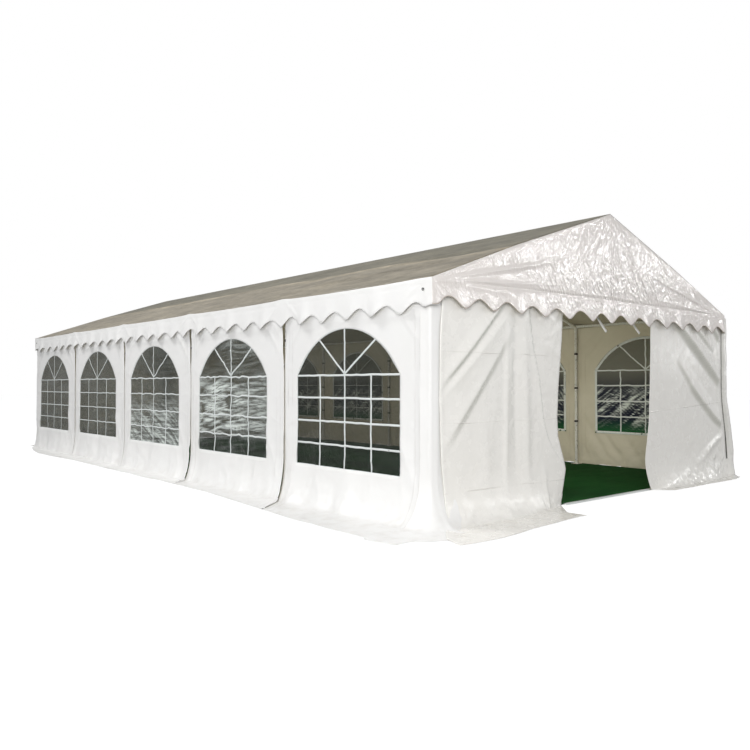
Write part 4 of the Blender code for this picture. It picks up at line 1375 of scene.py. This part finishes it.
# %% The gables
def make_gable(end):
    """One gable: columns across the tent, and rows from the roof's edge down to the wavy edge."""
    spacing, rows = (0.0135, 62) if end < 0 else (0.025, 36)
    x = stations(-GABLE_HALF, 0.0, GABLE_HALF, spacing=spacing)
    share = (x + GABLE_HALF) / (2 * GABLE_HALF)
    to_corner = GABLE_HALF - np.abs(x)
    top = roof_height(x, np.full_like(x, end * HALF_LENGTH)) - ROOF_TOP + 0.001
    bottom = wavy_edge(share, GABLE_LOBES, 1.815, 1.73, to_corner, 121)
    t = np.concatenate([np.linspace(0, ABOVE, rows), np.linspace(ABOVE, 1.0, 17)[1:]])[:, None]
    z = top + (EAVE_Z - top) * np.minimum(t / ABOVE, 1.0)
    z = z - (EAVE_Z - bottom) * np.clip((t - ABOVE) / BELOW, 0.0, 1.0)
    columns = np.broadcast_to(x, z.shape)
    relief = gable_relief(columns, z, 130 if end < 0 else 160)
    relief += curl(np.broadcast_to(share, z.shape), GABLE_LOBES, np.maximum(EAVE_Z - z, 0), 0.08, 141)
    relief = np.maximum(relief, -0.02 * rise(to_corner, 0.0, 0.1)) * rise(to_corner, 0.0, 0.06)
    relief = relief * rise(top - z, 0.0, 0.03)
    points = np.stack([columns, end * (GABLE_Y + relief + 0.0015 * rise(to_corner, 0.06, 0.0)), z], -1)
    name = "gable_sheet_front" if end < 0 else "gable_sheet_back"
    piece = lay_sheet(name, points, np.stack([columns, z], -1), (finish_gable, finish_inside), (0, end, 0))
    node_name = "gable_front" if end < 0 else "gable_back"
    hang(piece, [node_name])
    return points[-1]


front_edge, back_edge = make_gable(-1), make_gable(1)
print("points along a gable's edge", len(front_edge), "in front and", len(back_edge), "behind")

# %% The side valances
SIDE_LOBES, VALANCE_HALF, VALANCE_X = 29, 5.0722, 2.5025


def make_valance(side):
    """A strip along the eave: its outer face hangs straight and curls out at the lobes."""
    y = stations(-VALANCE_HALF, VALANCE_HALF, spacing=0.0165 if side < 0 else UNSEEN_SPACING)
    share = (y + VALANCE_HALF) / (2 * VALANCE_HALF)
    to_corner = VALANCE_HALF - np.abs(y)
    bottom = wavy_edge(share, SIDE_LOBES, 1.772, 1.69, to_corner, 151)
    top = roof_height(np.full_like(y, side * 2.5), y) - ROOF_TOP + 0.001
    t = np.linspace(0.0, 1.0, 15)[:, None]
    z = top + (bottom - top) * t
    along = np.broadcast_to(y, z.shape)
    drop = np.maximum(EAVE_Z - z, 0)
    relief = curl(np.broadcast_to(share, z.shape), SIDE_LOBES, drop, 0.10, 153)
    relief += drop / 0.25 * (0.004 * hills(along / 0.3, z / 0.2, 155) + 0.002 * crush(along, z, 157, 0.1))
    relief += -0.004 * bell(z - 1.90 - 0.004 * hills(along / 0.5, along * 0, 158), 0.006)
    for frame_y in range(-5, 6, 2):
        for sign in (-1, 1):
            start, end = (frame_y + sign * 0.3, 1.74), (frame_y + sign * 0.02, 1.95)
            relief += fold(along, z, start, end, 0.014, 0.006)
    relief = np.maximum(relief, -0.004) * rise(to_corner, 0.0, 0.06) * rise(t, 0.0, 0.12)
    points = np.stack([side * (VALANCE_X + relief), along, z], -1)
    side_name = SIDE_NAMES[side]
    piece = lay_sheet(f"valance_sheet_{side_name}", points, np.stack([along, z], -1),
                      (finish_wall, finish_inside), (side, 0, 0))
    hang(piece, [f"valance_{side_name}"])
    return points[-1]


left_edge_line, right_edge_line = make_valance(-1), make_valance(1)
print("lobes", GABLE_LOBES, "on each gable and", SIDE_LOBES, "on each side")


# %% The binding
def make_binding(name, line, outward, surface):
    """A strip sewn over the wavy edge: its rows lie above, on and behind the edge line."""
    out, up = np.asarray(outward, float), np.array([0.0, 0.0, 1.0])
    rows = [line + out * 0.0012 + up * 0.005, line + out * 0.0016 - up * 0.001,
            line - out * 0.0026 - up * 0.001, line - out * 0.0026 + up * 0.005]
    points = np.stack(rows)
    flat = np.stack([np.broadcast_to(np.arange(line.shape[0]) * 0.015, points.shape[:2]),
                     np.broadcast_to(np.arange(4)[:, None] * 0.01, points.shape[:2])], -1)
    fasten(lay_sheet(name, points, flat, (surface,), outward, thickness=0.0008))


make_binding("binding_front", front_edge, (0, -1, 0), finish_binding)
make_binding("binding_back", back_edge, (0, 1, 0), finish_binding)
make_binding("binding_left", left_edge_line, (-1, 0, 0), finish_white_binding)
make_binding("binding_right", right_edge_line, (1, 0, 0), finish_white_binding)

# %% [markdown]
# ## The rolled-up door, its ties, and small fittings
#
# Behind the front valance the door panel is rolled up. A cylinder would look like a pipe at its
# ends, so the roll is a spiral carried along X. Two white tapes hold it and their ends hang down
# at a slant. Dark ties hold the walls to every post, and each end of the side valances has an
# eyelet. Ties and eyelets are rings of one form, set down in many places.

# %% The rolled door
ROLL_Y, ROLL_Z, ROLL_TURNS = -4.9357, 1.9037, 8
ROLL_CORE, ROLL_RADIUS = 0.012, 0.0435
TIE_WIDTH, TIE_RADIUS = 0.032, 0.0475


def make_roll():
    """A spiral carried along X, a little slack between the ties."""
    turn = np.linspace(0.0, ROLL_TURNS * 2 * np.pi, ROLL_TURNS * 22)
    radius = ROLL_CORE + (ROLL_RADIUS - ROLL_CORE) * turn / turn[-1]
    x = stations(-0.70, 0.82, spacing=0.05)[:, None]
    loose = 1 + 0.04 * hills(x / 0.2, turn / 3.0, 171)
    y = ROLL_Y + radius * loose * np.cos(turn)
    z = ROLL_Z + radius * loose * np.sin(turn)
    points = np.stack([np.broadcast_to(x, y.shape), y, z], -1)
    flat = np.stack([np.broadcast_to(x, y.shape), np.broadcast_to(turn * 0.028, y.shape)], -1)
    return lay_sheet("rolled_door_sheet", points, flat, (finish_inside, finish_curtain), (0, 0, 0),
                     thickness=0.0009)


def make_tie(number, x, end_x, end_z):
    """A tape once round the roll, then hanging from its foot to a free end."""
    angle = np.linspace(-0.5 * np.pi, 1.6 * np.pi, 26)
    around = np.stack([np.full_like(angle, x), ROLL_Y + TIE_RADIUS * np.cos(angle),
                       ROLL_Z + TIE_RADIUS * np.sin(angle)], -1)
    t = np.linspace(0.0, 1.0, 14)[:, None]
    start, end = np.array([x, -4.955, ROLL_Z - 0.047]), np.array([end_x, -4.965, end_z])
    tail = start + (end - start) * t + np.array([0.0, 0.0, -0.012]) * np.sin(np.pi * t)
    line = np.concatenate([around, tail])
    slant = np.array([0.64, 0.0, 0.77])
    across = np.where(np.arange(len(line))[:, None] < len(around), np.array([1.0, 0.0, 0.0]), slant)
    points = np.stack([line - across * TIE_WIDTH / 2, line + across * TIE_WIDTH / 2])
    flat = np.stack([np.broadcast_to(np.arange(len(line)) * 0.012, (2, len(line))),
                     np.broadcast_to(np.array([[0.0], [TIE_WIDTH]]), (2, len(line)))], -1)
    piece = lay_sheet(f"door_tie_{number}", points, flat, (finish_strap,), (0, -1, 0), thickness=0.0014)
    fasten(piece)
    return piece


roll = make_roll()
ties = [make_tie(1, -0.11, 0.093, 1.655), make_tie(2, 0.52, 0.734, 1.665)]
hang(roll, ["door_roll"])
print("a roll of", ROLL_TURNS, "turns with", len(ties), "ties")


# %% Dark ties on the posts, and eyelets
def ring_band(center, radius, height, axis, sides=20):
    """A closed band: a rounded cross-section of eight points carried round a circle."""
    turn = np.linspace(0.0, 2 * np.pi, sides, endpoint=False)[:, None]
    section = np.linspace(0.0, 2 * np.pi, 8, endpoint=False)[None, :]
    r = radius + height * 0.18 * np.cos(section)
    along = height * 0.5 * np.sin(section)
    flat_ring = np.stack([r * np.cos(turn), r * np.sin(turn), along + 0 * turn], -1)
    if axis == "x":
        flat_ring = flat_ring[..., [2, 0, 1]]
    corner = np.arange(sides * 8).reshape(sides, 8)
    after_turn, after_section = np.roll(corner, -1, 0), np.roll(corner, -1, 1)
    squares = np.stack([corner, after_turn, np.roll(after_turn, -1, 1), after_section], -1).reshape(-1, 4)
    return flat_ring.reshape(-1, 3) + np.asarray(center), squares


def join_rings(name, rings, surface):
    """Many rings in one mesh: each ring's squares count on from the points before it."""
    starts = np.cumsum([0] + [len(ring) for ring, _ in rings])
    spots = np.concatenate([ring for ring, _ in rings])
    squares = np.concatenate([faces + start for (_, faces), start in zip(rings, starts)])
    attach(new_piece(name, spots, squares, (surface,)), "root")


tie_rings = [
    ring_band((side * 2.455, frame_y, z), 0.021, 0.026, "z")
    for side in (-1, 1) for frame_y in range(-5, 6, 2) for z in (1.557, 1.074, 0.606)
]
join_rings("post_ties", tie_rings, finish_tie)
eyelet_rings = [
    ring_band((side * 2.5085, end * 4.975, 1.867), 0.010, 0.009, "x", 16)
    for side in (-1, 1) for end in (-1, 1)
]
join_rings("valance_eyelets", eyelet_rings, finish_tie)
print("ties", len(tie_rings), "eyelets", len(eyelet_rings))

# %% [markdown]
# ## Floor covering
#
# The pile is laid in lengths and ends at the doorway with a pale edge strip. A flat face would
# show the green, but with a hard, sharp border. So it is a softly uneven grid that sinks to its
# edge and is thick enough to show its side. It leaves the feet of the middle posts free.

# %% The carpet
CARPET_X, CARPET_Y, FOOT_GAP = 2.524, 5.01, 0.063
FOOT_INNER, FOOT_OUTER = 2.392, 2.518  # sides of the gap for a post's foot
foot_marks = [frame_y + shift for frame_y in range(-3, 4, 2) for shift in (-FOOT_GAP, FOOT_GAP)]
carpet_x = stations(-CARPET_X, -FOOT_OUTER, -FOOT_INNER, FOOT_INNER, FOOT_OUTER, CARPET_X, spacing=0.12)
carpet_y = stations(-CARPET_Y, -5 + FOOT_GAP, *foot_marks, 5 - FOOT_GAP, CARPET_Y, spacing=0.12)
grid_x, grid_y = np.meshgrid(carpet_x, carpet_y)
inside_edge = rise(np.minimum(CARPET_X - np.abs(grid_x), CARPET_Y - np.abs(grid_y)), 0.0, 0.09)
carpet_z = 0.0085 + 0.0022 * inside_edge * hills(grid_x / 0.4, grid_y / 0.7, 181)
square_x, square_y = (grid_x[1:, 1:] + grid_x[:-1, :-1]) / 2, (grid_y[1:, 1:] + grid_y[:-1, :-1]) / 2
off_frame = np.abs((square_y + FRAME_Y + 1) % 2 - 1)
over_foot = (off_frame < FOOT_GAP) & (np.abs(square_x) > FOOT_INNER) & (np.abs(square_x) < FOOT_OUTER)
carpet = lay_sheet("green_floor", np.stack([grid_x, grid_y, carpet_z], -1), np.stack([grid_x, grid_y], -1),
                   (finish_carpet,), (0, 0, 1), ~over_foot, thickness=0.006)
hang(carpet, ["floor_carpet"])
print("carpet", len(carpet.data.polygons), "squares, and", int(over_foot.sum()), "left out at the feet")

# %% The strip at the doorway
strip_x = stations(-0.72, 1.02, spacing=0.04)
strip_profile = np.array([[-5.046, 0.001], [-5.044, 0.009], [-5.036, 0.0125],
                          [-5.008, 0.0125], [-5.0, 0.0105]])
strip_y = np.broadcast_to(strip_profile[:, 0][:, None], (5, len(strip_x)))
strip_z = np.broadcast_to(strip_profile[:, 1][:, None], (5, len(strip_x)))
strip_points = np.stack([np.broadcast_to(strip_x, strip_y.shape), strip_y, strip_z], -1)
strip = lay_sheet("threshold_strip", strip_points, strip_points[..., :2], (finish_bar,), (0, -0.3, 1),
                  thickness=0.001)
fasten(strip)
print("strip", len(strip.data.polygons), "squares")

# %% [markdown]
# ## Finish the steel and lay the studio floor
#
# The tubes keep their CAD meshes, which are round already, and only change their material. The
# studio floor is a plain pale sheet that is not part of the tent. One floor would be simpler,
# but a white one washes out the tent's shade. So it is laid twice: the camera sees a white one,
# and the tent is lit by a darker one.

# %% Steel and studio floor
STEEL_NAMES = ("post", "rafter", "eave", "ridge", "purlin", "crossbar")
for name, thing in frame["nodes"].items():
    if name.startswith(STEEL_NAMES):
        thing.data.materials.clear()
        thing.data.materials.append(finish_steel)

floor_u, floor_v = np.meshgrid(np.linspace(-60, 60, 13), np.linspace(-60, 60, 13))
for name, surface, depth, seen_by_camera in (
    ("studio_floor_seen", finish_floor_seen, -0.002, True),
    ("studio_floor_lit", finish_floor_lit, -0.004, False),
):
    floor = lay_sheet(name, np.stack([floor_u, floor_v, 0 * floor_u + depth], -1),
                      np.stack([floor_u, floor_v], -1), (surface,), (0, 0, 1), thickness=0)
    floor.visible_camera = seen_by_camera
    floor.visible_diffuse = floor.visible_glossy = floor.visible_shadow = not seen_by_camera
print("steel pieces", sum(name.startswith(STEEL_NAMES) for name in frame["nodes"]))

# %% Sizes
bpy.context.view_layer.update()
triangles = sum(2 * len(thing.data.polygons) for thing in bpy.data.objects
                if thing.type == "MESH" and "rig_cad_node" not in thing)
print("triangles before thickness", triangles)
